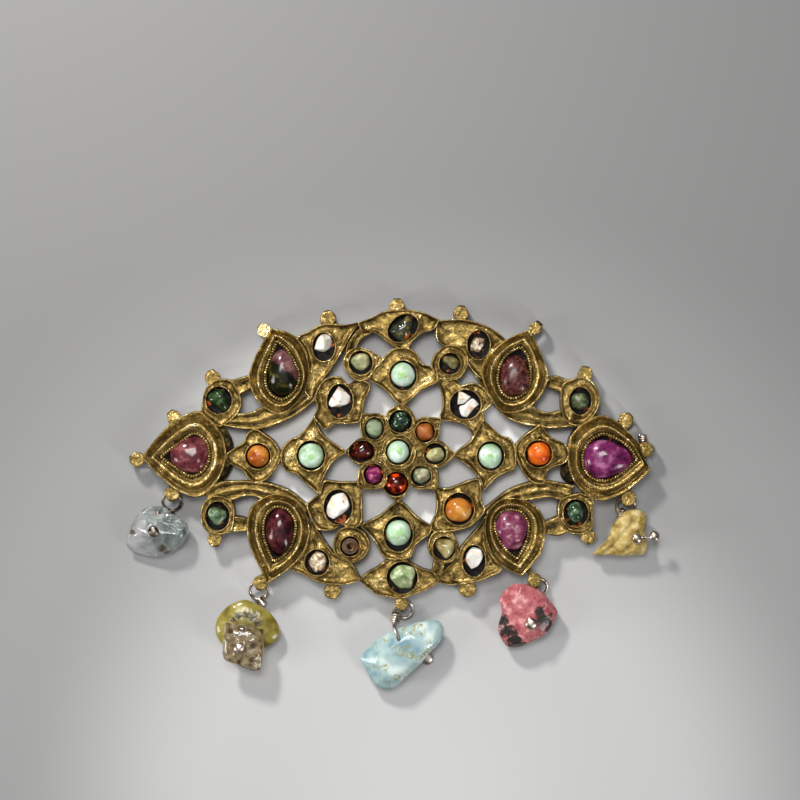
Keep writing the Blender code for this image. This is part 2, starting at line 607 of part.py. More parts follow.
def ellipse_point(pocket, toward):
    """The point of a turned ellipse that lies in the direction of a point."""
    cx, cy, width, height, turn = pocket
    angle = math.atan2(cy - toward[1], toward[0] - cx)
    local = angle - math.radians(turn)
    a, b = width / 2, height / 2
    r = a * b / math.hypot(b * math.cos(local), a * math.sin(local))
    return (cx + r * math.cos(angle), cy - r * math.sin(angle))


def between(outer, inner, t):
    """The loop that lies the fraction t of the way from outer to inner."""
    return [
        (a[0] + (b[0] - a[0]) * t, a[1] + (b[1] - a[1]) * t)
        for a, b in zip(outer, inner)
    ]


def at_height(loop, z):
    """A loop of drawing points as vertices at the height z."""
    return [(*metres(p), z) for p in loop]


def material(name, colour, metallic, roughness):
    """A plain surface for one part."""
    made = bpy.data.materials.new(name)
    made.use_nodes = True
    shader = made.node_tree.nodes["Principled BSDF"]
    shader.inputs["Base Color"].default_value = (*colour, 1.0)
    shader.inputs["Metallic"].default_value = metallic
    shader.inputs["Roughness"].default_value = roughness
    made.diffuse_color = (*colour, 1.0)
    return made


def lofted(name, loops):
    """A closed solid through loops of equal length, capped at both ends."""
    verts = [v for loop in loops for v in loop]
    size = len(loops[0])
    faces = [list(range(size))]
    for row in range(len(loops) - 1):
        for i in range(size):
            j = (i + 1) % size
            a, b = row * size, (row + 1) * size
            faces.append([a + i, b + i, b + j, a + j])
    last = (len(loops) - 1) * size
    faces.append([last + i for i in reversed(range(size))])
    mesh = bpy.data.meshes.new(name)
    mesh.from_pydata(verts, [], faces)
    work = bmesh.new()
    work.from_mesh(mesh)
    bmesh.ops.recalc_face_normals(work, faces=work.faces[:])
    work.to_mesh(mesh)
    work.free()
    made = bpy.data.objects.new(name, mesh)
    bpy.context.scene.collection.objects.link(made)
    return made


def prism(name, outline, bottom, top):
    """An upright solid on a drawing outline."""
    return lofted(name, [at_height(outline, bottom), at_height(outline, top)])


def combined(first, others, operation):
    """The first solid with the others added to it or cut out of it."""
    group = bpy.data.collections.new(first.name + "_others")
    for other in others:
        group.objects.link(other)
    step = first.modifiers.new("combine", "BOOLEAN")
    step.operation = operation
    step.operand_type = "COLLECTION"
    step.collection = group
    step.solver = "EXACT"
    bpy.context.view_layer.update()
    graph = bpy.context.evaluated_depsgraph_get()
    mesh = bpy.data.meshes.new_from_object(first.evaluated_get(graph))
    first.modifiers.clear()
    first.data = mesh
    mesh.name = first.name
    for other in others:
        bpy.data.objects.remove(other)
    bpy.data.collections.remove(group)


def joined(name, parts):
    """One closed solid out of overlapping ones."""
    first = parts[0]
    first.name = name
    combined(first, parts[1:], "UNION")
    return first


def tidied(made):
    """Triangles only, with doubled vertices merged and flat faces joined first."""
    work = bmesh.new()
    work.from_mesh(made.data)
    bmesh.ops.remove_doubles(work, verts=work.verts[:], dist=MERGE)
    bmesh.ops.dissolve_limit(work, angle_limit=FLAT_ANGLE, verts=work.verts[:],
                             edges=work.edges[:], use_dissolve_boundaries=False)
    bmesh.ops.triangulate(work, faces=work.faces[:])
    work.to_mesh(made.data)
    work.free()


def cell(name, outline, pocket, count, rim):
    """A cell's wall, rim and dished top, and the cutter of its pocket."""
    outer = resampled(outline, count)
    inner = [ellipse_point(pocket, p) for p in outer]
    solid = lofted(name, [
        at_height(outer, 0.0),
        at_height(outer, rim),
        at_height(between(outer, inner, 0.5), rim - DISH_DROP),
        at_height(inner, rim - COLLAR_DROP),
    ])
    return solid, prism(name + "_pocket", inner, POCKET_FLOOR, CUTTER_TOP)


def drop_cell(name, outline, pocket, count):
    """A teardrop cell: rim, dished channel and raised collar, and its cutter."""
    outer = resampled(outline, count)
    inner = resampled(pocket, count)
    solid = lofted(name, [
        at_height(outer, 0.0),
        at_height(outer, DROP_RIM),
        at_height(between(outer, inner, 0.35), DROP_CHANNEL),
        at_height(between(outer, inner, 0.62), DROP_COLLAR),
        at_height(inner, DROP_LIP),
    ])
    return solid, prism(name + "_pocket", inner, POCKET_FLOOR, CUTTER_TOP)


def loop_frame(x, y, degrees):
    """Places of a loop in metres: centre, outward and sideways directions."""
    angle = math.radians(degrees)
    return (
        Vector(metres((x, y))),
        Vector((math.cos(angle), math.sin(angle))),
        Vector((-math.sin(angle), math.cos(angle))),
    )


def strap_loop(name, spec, width):
    """A strap that leaves the back, bends up and ends in a flat disc."""
    x, y, degrees, radius = spec
    centre, out, side = loop_frame(x, y, degrees)
    disc_radius = radius * STEP
    disc = []
    for k in range(DISC_SIDES):
        angle = 2 * math.pi * (k + 0.5) / DISC_SIDES
        disc.append(centre + out * math.cos(angle) * disc_radius
                    + side * math.sin(angle) * disc_radius)
    top = lofted(name + "_disc", [
        [(p.x, p.y, DISC_BOTTOM) for p in disc],
        [(p.x, p.y, DISC_TOP) for p in disc],
    ])
    rise = DISC_BOTTOM + STRAP_BITE
    profile = [
        (-STRAP_BACK, STRAP_BOTTOM), (SLOT_HALF + STRAP_THICK, STRAP_BOTTOM),
        (SLOT_HALF + STRAP_THICK, rise),
        (SLOT_HALF, rise), (SLOT_HALF, STRAP_BOTTOM + STRAP_THICK),
        (-STRAP_BACK, STRAP_BOTTOM + STRAP_THICK),
    ]
    loops = []
    for sign in (-1, 1):
        row = []
        for along, z in profile:
            p = centre + out * along + side * (sign * width / 2)
            row.append((p.x, p.y, z))
        loops.append(row)
    return [top, lofted(name + "_strap", loops)]


def strip(name, edge, other):
    """A soldered strip between two edges."""
    outline = list(edge) + list(reversed(other))
    return prism(name, outline, 0.0, ARM_HEIGHT)


def edge_gap(point, polygon):
    """How far a drawing point lies inside a polygon; negative outside it."""
    nearest = math.inf
    inside = False
    for a, b in zip(polygon, polygon[1:] + polygon[:1]):
        dx, dy = b[0] - a[0], b[1] - a[1]
        t = ((point[0] - a[0]) * dx + (point[1] - a[1]) * dy) / (dx * dx + dy * dy)
        t = min(max(t, 0.0), 1.0)
        nearest = min(nearest, math.dist(point, (a[0] + t * dx, a[1] + t * dy)))
        if (a[1] > point[1]) != (b[1] > point[1]):
            if point[0] < dx * (point[1] - a[1]) / dy + a[0]:
                inside = not inside
    return nearest if inside else -nearest


def pocket_edge(key):
    """The pocket outline of a cell."""
    if key in DROPS:
        return resampled(DROPS[key][1], DROP_SIDES)
    outline, pocket, count = CELLS[key]
    return [ellipse_point(pocket, p) for p in resampled(outline, count)]


def fitted(outline, x, y, pocket):
    """The outline drawn in, point by point, until it clears the pocket's edge."""
    placed = []
    for point in outline:
        for _ in range(60):
            if edge_gap(point, pocket) * STEP >= CLEARANCE * 1.1:
                break
            point = (point[0] + (x - point[0]) * 0.02, point[1] + (y - point[1]) * 0.02)
        placed.append(point)
    return placed


def stone(name, spec):
    """A domed stone."""
    x, y, width, height, turn, egg, power, crown = spec
    count = DROP_STONE_SIDES if "drop" in name else STONE_SIDES
    key = name.removeprefix("stone_").removesuffix("_a").removesuffix("_b")
    angle = math.radians(turn)
    outline = []
    for k in range(count):
        t = 2 * math.pi * (k + 0.5) / count
        c, s = math.cos(t), math.sin(t)
        r = (abs(c) ** power + abs(s) ** power) ** (-1 / power)
        u = c * r * width / 2
        v = s * r * height / 2
        u *= 1 - egg * 2 * v / height
        outline.append((x + u * math.cos(angle) - v * math.sin(angle),
                        y - u * math.sin(angle) - v * math.cos(angle)))
    outline = fitted(outline, x, y, pocket_edge(key))
    middle = [(x, y)] * count
    top = STONE_BASE + crown
    return lofted(name, [
        at_height(between(outline, middle, 0.10), STONE_BASE),
        at_height(outline, STONE_BASE + crown * 0.45),
        at_height(between(outline, middle, 0.26), STONE_BASE + crown * 0.86),
        at_height(between(outline, middle, 0.72), top),
    ])


def bead(name, outline, bottom, top, wire):
    """A tumbled bead with its bore standing upright."""
    ring = resampled(outline, BEAD_SIDES)
    cx = sum(p[0] for p in ring) / len(ring)
    cy = sum(p[1] for p in ring) / len(ring)
    middle = [(cx, cy)] * len(ring)
    tall = top - bottom
    made = lofted(name, [
        at_height(between(ring, middle, 0.34), bottom),
        at_height(between(ring, middle, 0.05), bottom + tall * 0.36),
        at_height(ring, bottom + tall * 0.52),
        at_height(between(ring, middle, 0.09), bottom + tall * 0.74),
        at_height(between(ring, middle, 0.36), top - tall * 0.06),
        at_height(between(ring, middle, 0.60), top),
    ])
    x, y = metres(WIRES[wire][3])
    bore = []
    for k in range(BORE_SIDES):
        angle = 2 * math.pi * (k + 0.5) / BORE_SIDES
        bore.append((x + BORE_RADIUS * math.cos(angle), y + BORE_RADIUS * math.sin(angle)))
    cutter = lofted(name + "_bore", [
        [(*p, bottom - BORE_OVERCUT) for p in bore],
        [(*p, top + BORE_OVERCUT) for p in bore],
    ])
    combined(made, [cutter], "DIFFERENCE")
    return made


def tube(name, path, radii, sides=WIRE_SIDES):
    """A round bar along a path, with a radius at every point."""
    points = [Vector(p) for p in path]
    loops = []
    up = Vector((0.0, 0.0, 1.0))
    across = None
    for i, p in enumerate(points):
        before = points[max(i - 1, 0)]
        after = points[min(i + 1, len(points) - 1)]
        along = (after - before).normalized()
        if across is None:
            start = up if abs(along.dot(up)) < 0.9 else Vector((1.0, 0.0, 0.0))
            across = along.cross(start).normalized()
        across = (across - along * across.dot(along)).normalized()
        other = along.cross(across)
        row = []
        for k in range(sides):
            angle = 2 * math.pi * k / sides
            q = p + (across * math.cos(angle) + other * math.sin(angle)) * radii[i]
            row.append(tuple(q))
        loops.append(row)
    return lofted(name, loops)


def ring_height(hub, out, point):
    """Height of a ring's wire: high inside its loop, dipping towards the pendant."""
    toward = (point - hub).normalized()
    return WIRE_HEIGHT - RING_DROP * (1 + toward.dot(out)) / 2


def ring(name, hub, out, around=12, sides=WIRE_SIDES):
    """A closed wire ring that tilts down from its loop."""
    verts = []
    faces = []
    for i in range(around):
        a = 2 * math.pi * i / around
        toward = Vector((math.cos(a), math.sin(a)))
        middle = ring_height(hub, out, hub + toward)
        for k in range(sides):
            b = 2 * math.pi * k / sides
            p = hub + toward * (RING_RADIUS + WIRE_RADIUS * math.cos(b))
            verts.append((p.x, p.y, middle + WIRE_RADIUS * math.sin(b)))
    for i in range(around):
        for k in range(sides):
            n = (i + 1) % around
            m = (k + 1) % sides
            faces.append([i * sides + k, n * sides + k, n * sides + m, i * sides + m])
    mesh = bpy.data.meshes.new(name)
    mesh.from_pydata(verts, [], faces)
    made = bpy.data.objects.new(name, mesh)
    bpy.context.scene.collection.objects.link(made)
    return made


def ball(name, x, y, z):
    """The small round end of a wire."""
    rows = [
        (-BALL_HALF, BALL_END_RADIUS), (-BALL_FLAT, BALL_RADIUS),
        (BALL_FLAT, BALL_RADIUS), (BALL_HALF, BALL_END_RADIUS),
    ]
    return tube(name, [(x, y, z + rise) for rise, _ in rows], [r for _, r in rows], 6)


def pendant_wire(key):
    """Ring through the loop, wound neck, shank through the bead and its end."""
    centre, neck, route, _ = WIRES[key]
    name = "wire_" + key
    over = OVER_BEAD + max(top for _, _, top, wire in BEADS.values() if wire == key)
    hub = Vector(metres(centre))
    _, out, _ = loop_frame(*PENDANT_LOOPS[key][:3])
    start, end = (Vector(metres(p)) for p in neck)
    high = ring_height(hub, out, start)
    parts = [ring(name, hub, out)]
    parts.append(tube(name + "_neck", [(*start, high), (*end, NECK_LOW)], [NECK_RADIUS] * 2, 6))
    path = [(*end, NECK_LOW)]
    for x, y, rise in route:
        path.append((*metres((x, y)), BACK_WIRE + (over - BACK_WIRE) * rise))
    parts.append(tube(name + "_shank", path, [WIRE_RADIUS] * len(path)))
    parts.append(ball(name + "_end", *path[-1]))
    if key == "twisted":
        x, y = metres(CURL_END)
        start = path[-1]
        parts.append(tube(name + "_curl", [start, (x, y, start[2])], [WIRE_RADIUS] * 2))
        parts.append(ball(name + "_curl_end", x, y, start[2]))
    return joined(name, parts)


def wire_stub():
    """A cut length of wire left in the loop at the right tip, wound at its top."""
    x, y, degrees, _ = LOOPS[10]
    centre, _, side = loop_frame(x, y, degrees)
    ends = [centre + side * STUB_UP, centre - side * STUB_DOWN]
    path = [(p.x, p.y, WIRE_HEIGHT) for p in ends]
    coil = centre + side * STUB_COIL_START
    rows = [(p.x, p.y, WIRE_HEIGHT) for p in (coil, ends[0])]
    return joined("wire_stub", [
        tube("wire_stub", path, [WIRE_RADIUS, WIRE_RADIUS]),
        tube("wire_stub_coil", rows, [STUB_COIL_RADIUS] * 2, 8),
    ])


def body():
    """The whole soldered gilt openwork as one solid."""
    cells = []
    for number, (name, (outline, pocket, count)) in enumerate(CELLS.items()):
        rim = RIM_HEIGHT + RIM_SPREAD * math.sin(2.4 * number)
        cells.append(cell(name, outline, pocket, count, rim))
    for name, (outline, pocket) in DROPS.items():
        cells.append(drop_cell(name, outline, pocket, DROP_SIDES))
    parts = [solid for solid, _ in cells]
    for name, (edge, other) in STRIPS.items():
        parts.append(strip(name, edge, other))
    parts.append(prism("field", FIELD, 0.0, FIELD_HEIGHT))
    parts.append(prism("layers_left", LAYERS_LEFT, 0.0, LAYER_HEIGHT))
    parts.append(prism("layers_right", LAYERS_RIGHT, 0.0, LAYER_HEIGHT))
    for number, spec in enumerate(LOOPS):
        parts += strap_loop("loop_%02d" % number, spec, STRAP_WIDTH)
    for name, spec in PENDANT_LOOPS.items():
        parts += strap_loop("loop_" + name, spec, RING_STRAP_WIDTH)
    made = joined("gilt_openwork", parts)
    combined(made, [cutter for _, cutter in cells], "DIFFERENCE")
    return made


def build():
    for old in list(bpy.data.objects):
        bpy.data.objects.remove(old, do_unlink=True)
    gilt = body()
    tidied(gilt)
    gilt.data.materials.clear()
    gilt.data.materials.append(material("gilt", (0.62, 0.42, 0.14), 1.0, 0.35))
    for name, spec in STONES.items():
        made = stone(name, spec)
        made.data.materials.append(material(name, (0.45, 0.30, 0.35), 0.0, 0.15))
    for name, (outline, bottom, top, wire) in BEADS.items():
        made = bead(name, outline, bottom, top, wire)
        made.data.materials.append(material(name, (0.70, 0.70, 0.55), 0.0, 0.20))
    for key in PENDANT_LOOPS:
        made = pendant_wire(key)
        tidied(made)
        made.data.materials.append(material("wire_" + key, (0.75, 0.74, 0.72), 1.0, 0.3))
    made = wire_stub()
    made.data.materials.append(material("wire_stub", (0.75, 0.74, 0.72), 1.0, 0.3))


build()
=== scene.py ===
"""The looks of an inlaid openwork brooch: gilt cells burnished round domed stones,
milled wires, resin beds, strap loops and five stone-bead pendants on silver wire.

Every shape is a grid of points: rows that run from one closed loop to the next,
worked out as whole arrays. Plans are drawn in steps of the drawing grid that is
GRID_WIDTH steps wide from tip to tip, y pointing down, as in the solid model.
"""
import json

import bpy
import numpy as np
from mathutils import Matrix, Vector


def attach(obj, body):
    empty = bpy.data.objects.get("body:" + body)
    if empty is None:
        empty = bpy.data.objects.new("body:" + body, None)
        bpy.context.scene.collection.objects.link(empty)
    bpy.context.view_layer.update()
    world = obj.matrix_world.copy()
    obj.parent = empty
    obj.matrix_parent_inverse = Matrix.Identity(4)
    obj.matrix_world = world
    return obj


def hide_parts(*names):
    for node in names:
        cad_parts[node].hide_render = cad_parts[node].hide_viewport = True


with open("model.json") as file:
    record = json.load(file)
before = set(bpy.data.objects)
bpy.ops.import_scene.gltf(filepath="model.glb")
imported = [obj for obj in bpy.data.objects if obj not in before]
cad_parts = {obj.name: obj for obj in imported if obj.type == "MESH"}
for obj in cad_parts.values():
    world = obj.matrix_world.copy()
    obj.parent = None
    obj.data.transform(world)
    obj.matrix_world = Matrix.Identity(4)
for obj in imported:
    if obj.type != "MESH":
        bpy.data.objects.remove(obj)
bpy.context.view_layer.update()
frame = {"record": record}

# Driving sizes in metres, as in the solid model.
BROOCH_WIDTH = 0.120
GRID_WIDTH = 521.0
GRID_CENTRE = (400.0, 453.0)
STEP = BROOCH_WIDTH / GRID_WIDTH

RIM_HEIGHT = 0.0056
RIM_SPREAD = 0.00018
POCKET_FLOOR = 0.0026
FIELD_HEIGHT = 0.0049
ARM_HEIGHT = 0.0051
LAYER_HEIGHT = 0.0034
STONE_BASE = POCKET_FLOOR + 0.0003
DISC_BOTTOM = 0.0038
DISC_TOP = 0.0046
STRAP_BOTTOM = 0.0006
STRAP_THICK = 0.0007
STRAP_WIDTH = 0.0018
RING_STRAP_WIDTH = 0.0013
SLOT_HALF = 0.0013
WIRE_RADIUS = 0.00036
WIRE_HEIGHT = 0.00255
RING_RADIUS = 0.0021
RING_DROP = 0.0020
NECK_LOW = 0.0008
BACK_WIRE = 0.0004
OVER_BEAD = 0.0006
BEAD_BOTTOM = 0.0011

# Fine forms that the solid model leaves out, in metres.
RIDGE_WIDTH = 0.00046
LIP_WIDTH = 0.00028
HOLLOW_DEPTH = 0.0009
WIRE_ENDS = {"rhodonite": 0.0014, "aqua": 0.0016, "rock_crystal": 0.0013}
COIL_RADIUS = 0.00084
COIL_THICK = 0.00027
MILLED_RADIUS = 0.00046
MILLED_PITCH = 0.00062
RESIN_TOP = 0.0042
TUCKED_HEIGHT = 0.0036
CURL_END = (654, 536)
WALL_FOOT_INSET = 0.00005
WALL_RIPPLE = 0.00003
RIDGE_RISE = 0.0003
LIP_FALL = 0.0001
FOLD_HEIGHT = 0.00007
FOLDS_ROUND = 9
SEAT_DEPTH = 0.0012
SECTION_STEP = 0.0001
RIPPLE_FREE_HEIGHT = 0.004
LAYER_STEPS = 3

# Uneven hammering and burnishing: how high it stands, and how wide its lumps are.
CELL_WANDER = (0.00012, 0.004)
CELL_CRUMPLE = (0.00013, 0.0030)
CELL_GRAIN = (0.00006, 0.0013)
DROP_WANDER = (0.00010, 0.005)
DROP_CRUMPLE = (0.00006, 0.0040)
STRAP_CRUMPLE = (0.00008, 0.0036)
FINE_GRAIN = (0.00003, 0.0011)
DISC_PITS = (0.00005, 0.0007)
RESIN_RIPPLE = (0.00006, 0.0012)
WEAR_SIZE = 0.0042
PLATE_CREASE = 0.0028
FIELD_CRUMPLE = 0.00020
LAYER_CRUMPLE = 0.00010
STONE_LUMP_SIZE = 0.003
BEAD_LUMP_SIZE = 0.006

# Sections across a strap: places from edge to edge, and heights in SECTION_STEP.
BANDED_SECTION = ([0, 0.05, 0.12, 0.28, 0.45, 0.52, 0.59, 0.76, 0.89, 0.95, 1],
                  [-2, 2.4, 1, -3.2, 0, 2.0, 0, -3.2, 1, 2.4, -2])
PLAIN_SECTION = ([0, 0.08, 0.20, 0.50, 0.80, 0.92, 1],
                 [-2, 2.4, 0, -3.4, 0, 2.4, -2])

# A loop's disc: how far in from its edge, and how far up its thickness.
DISC_PROFILE = ((0.5, 0), (0.12, 0), (0.03, 0.2), (0, 0.5), (0.02, 0.8), (0.07, 0.95),
                (0.14, 1), (0.3, 0.97), (0.5, 0.95), (0.7, 0.96), (0.88, 0.95))

# The strip under a loop's disc: its straight back, then its two bends, as steps out
# and up from the lower and the upper corner.
STRIP_BACK = (-0.0034, -0.0010)
LOW_BEND = ((-0.0006, 0), (-0.0001, 0.0003), (0, 0.0010))
HIGH_BEND = ((0, -0.0007), (-0.0002, -0.0001), (-0.0008, 0.0003))

# An eyelet's rolled edge and hole: shares of its plan and of its height.
EYELET_PROFILE = ((0.92, 0.1), (1.0, 0.3), (0.98, 0.62), (0.88, 0.74), (0.76, 0.62),
                  (0.66, 0.60), (0.58, 0.80), (0.46, 0.86), (0.38, 0.74), (0.34, 0.30),
                  (0.04, 0.25))

# The resin in a pocket: shares of the pocket's plan, and heights.
RESIN_PROFILE = ((1.02, POCKET_FLOOR), (1.02, RESIN_TOP), (0.95, RESIN_TOP - 0.0002),
                 (0.85, RESIN_TOP - 0.0003), (0.6, RESIN_TOP - 0.0003),
                 (0.1, RESIN_TOP - 0.0003))

# Cut faces: how far their planes lean from level, how deep they cut as shares of the
# stone's height, and how much of what stands over a plane is pushed back.
STONE_CUTS = ((0.35, 0.9), (0.10, 0.24), 0.94)
BEAD_CUTS = ((0.25, 1.15), (0.12, 0.34), 0.92)

# Ends of the wires, and the wound bits of the grey quartz and of the cut stub.
END_WIDTH = 0.0012
END_HEIGHT = 0.0007
CURL_END_HEIGHT = 0.0008
SHANK_SHARE = 0.9
QUARTZ_WINDING = [(233.5, 651.5), (246, 641)]
QUARTZ_WOUND_RADIUS = 0.00045
QUARTZ_WOUND_THICK = 0.00026
STUB_LOOP = 10
STUB_TOP = 0.0034
STUB_FOOT = 0.0022
STUB_WOUND_FROM = 0.0017

# A teardrop cell's section: share of the way in, height, and how dark its gilt is painted there,
# lighter on the rim and collar tops as a painted highlight, darker in the channel and at the seat as
# patina and painted shade.
DROP_RIM = 0.0060
DROP_SEAT = 0.0056
DROP_PLACES = [0, 0.05, 0.12, 0.30, 0.40, 0.47, 0.62, 0.72, 0.88, 1.0]
DROP_HEIGHTS = [0.0056, 0.0060, 0.0057, 0.0051, 0.0049, 0.0058, 0.0067, 0.0066, 0.0060, DROP_SEAT]
DROP_PATINA_AND_PAINTED_LIGHT = [0.4, 0.0, 0.25, 0.45, 0.8, 0.35, 0.0, 0.15, 0.5, 0.9]

# Points round and across the shapes.
CELL_POINTS = 150
HOLLOW_ROWS = 12
DROP_POINTS = 260
DROP_ROWS = 32
STRAP_POINTS = 70
PLATE_POINTS = 200
PLATE_ROWS = 44
WAVES = 14

# The picture: its width and centre in drawing steps, and how far up the camera is.
PICTURE_WIDTH = 800.0
PICTURE_CENTRE = (400.0, 400.0)
CAMERA_RISE = 0.50
FACE_HEIGHT = 0.0050
FLOOR_SIZE = 4.0
FLOOR_GAP = 0.0002
SENSOR_WIDTH = 36.0

# Screen colours.
# Gilt tones from light to dark: the lightest is a painted highlight on ridge tops, the darker ones
# patina and painted shade in hollows, crevices and pockets.
GILT = ((255, 238, 182), (166, 140, 81), (112, 92, 46), (28, 20, 9))
SILVER = ((228, 216, 204), (176, 160, 146), (84, 70, 60))
DULL_SILVER = ((150, 138, 124), (92, 80, 70), (44, 36, 30))
RUBBED_GILT = ((255, 248, 222), (238, 222, 178), (196, 172, 118), (120, 96, 54))
MINT = ((124, 160, 110), (168, 196, 168), (220, 234, 230))
RUST = (150, 116, 66)
GREEN_CORE = (146, 184, 122)
WHITE = (1.0, 1.0, 1.0, 1.0)
BLACK = (0.0, 0.0, 0.0, 1.0)
RED_STAIN = (128, 62, 38)
# Resin: two dark browns, and an amber tone for painted glints.
RESIN = ((6, 4, 3), (16, 9, 5), (168, 84, 20))

# Sizes in the finishes, in metres, and the roughness that parts matt from glassy.
SPLIT_WIDTH = 0.004
SPECK_SIZE = 0.0008
MATT = 0.3
GLASSY = 0.07

# Soft boxes that shine at the brooch's middle: place, size, watts and colour.
LAMPS = {
    "key": ((-0.20, 0.35, 0.33), (0.06, 0.06), 2.7, (1.0, 0.98, 0.95)),
    "edge": ((0.28, -0.26, 0.26), (0.08, 0.20), 0.7, (1.0, 1.0, 1.0)),
    "side": ((-0.42, -0.10, 0.20), (0.10, 0.24), 1.0, (1.0, 1.0, 1.0)),
    "sky": ((-0.06, 0.15, 0.60), (0.20, 0.16), 1.7, (1.0, 1.0, 1.0)),
}
# The dim room round the studio, from below to straight above.
ROOM = [
    (0.0, (0.06, 0.06, 0.06, 1.0)), (0.60, (0.08, 0.08, 0.08, 1.0)),
    (0.86, (0.20, 0.20, 0.20, 1.0)), (1.0, (0.62, 0.62, 0.63, 1.0)),
]
# The table's painted light: centre x and y of a soft oval, its half-axes, and its greys outwards.
# The first is a painted pool of light, pale near the brooch and darker away from it. The second only
# says how white the first is made in the brooch's openings, which is painted light there.
PAINTED_TABLE_LIGHT = [
    (0.008, -0.085, 0.15, 0.15, ((0.0, 180), (0.34, 172), (0.68, 130), (1.0, 112))),
    (0.0, -0.001, 0.067, 0.040, ((0.40, 215), (0.92, 0), (0.97, 0), (1.0, 0))),
]

# The strap loops whose gilding is rubbed pale, by their place in the list.
PALE_LOOPS = (2,)

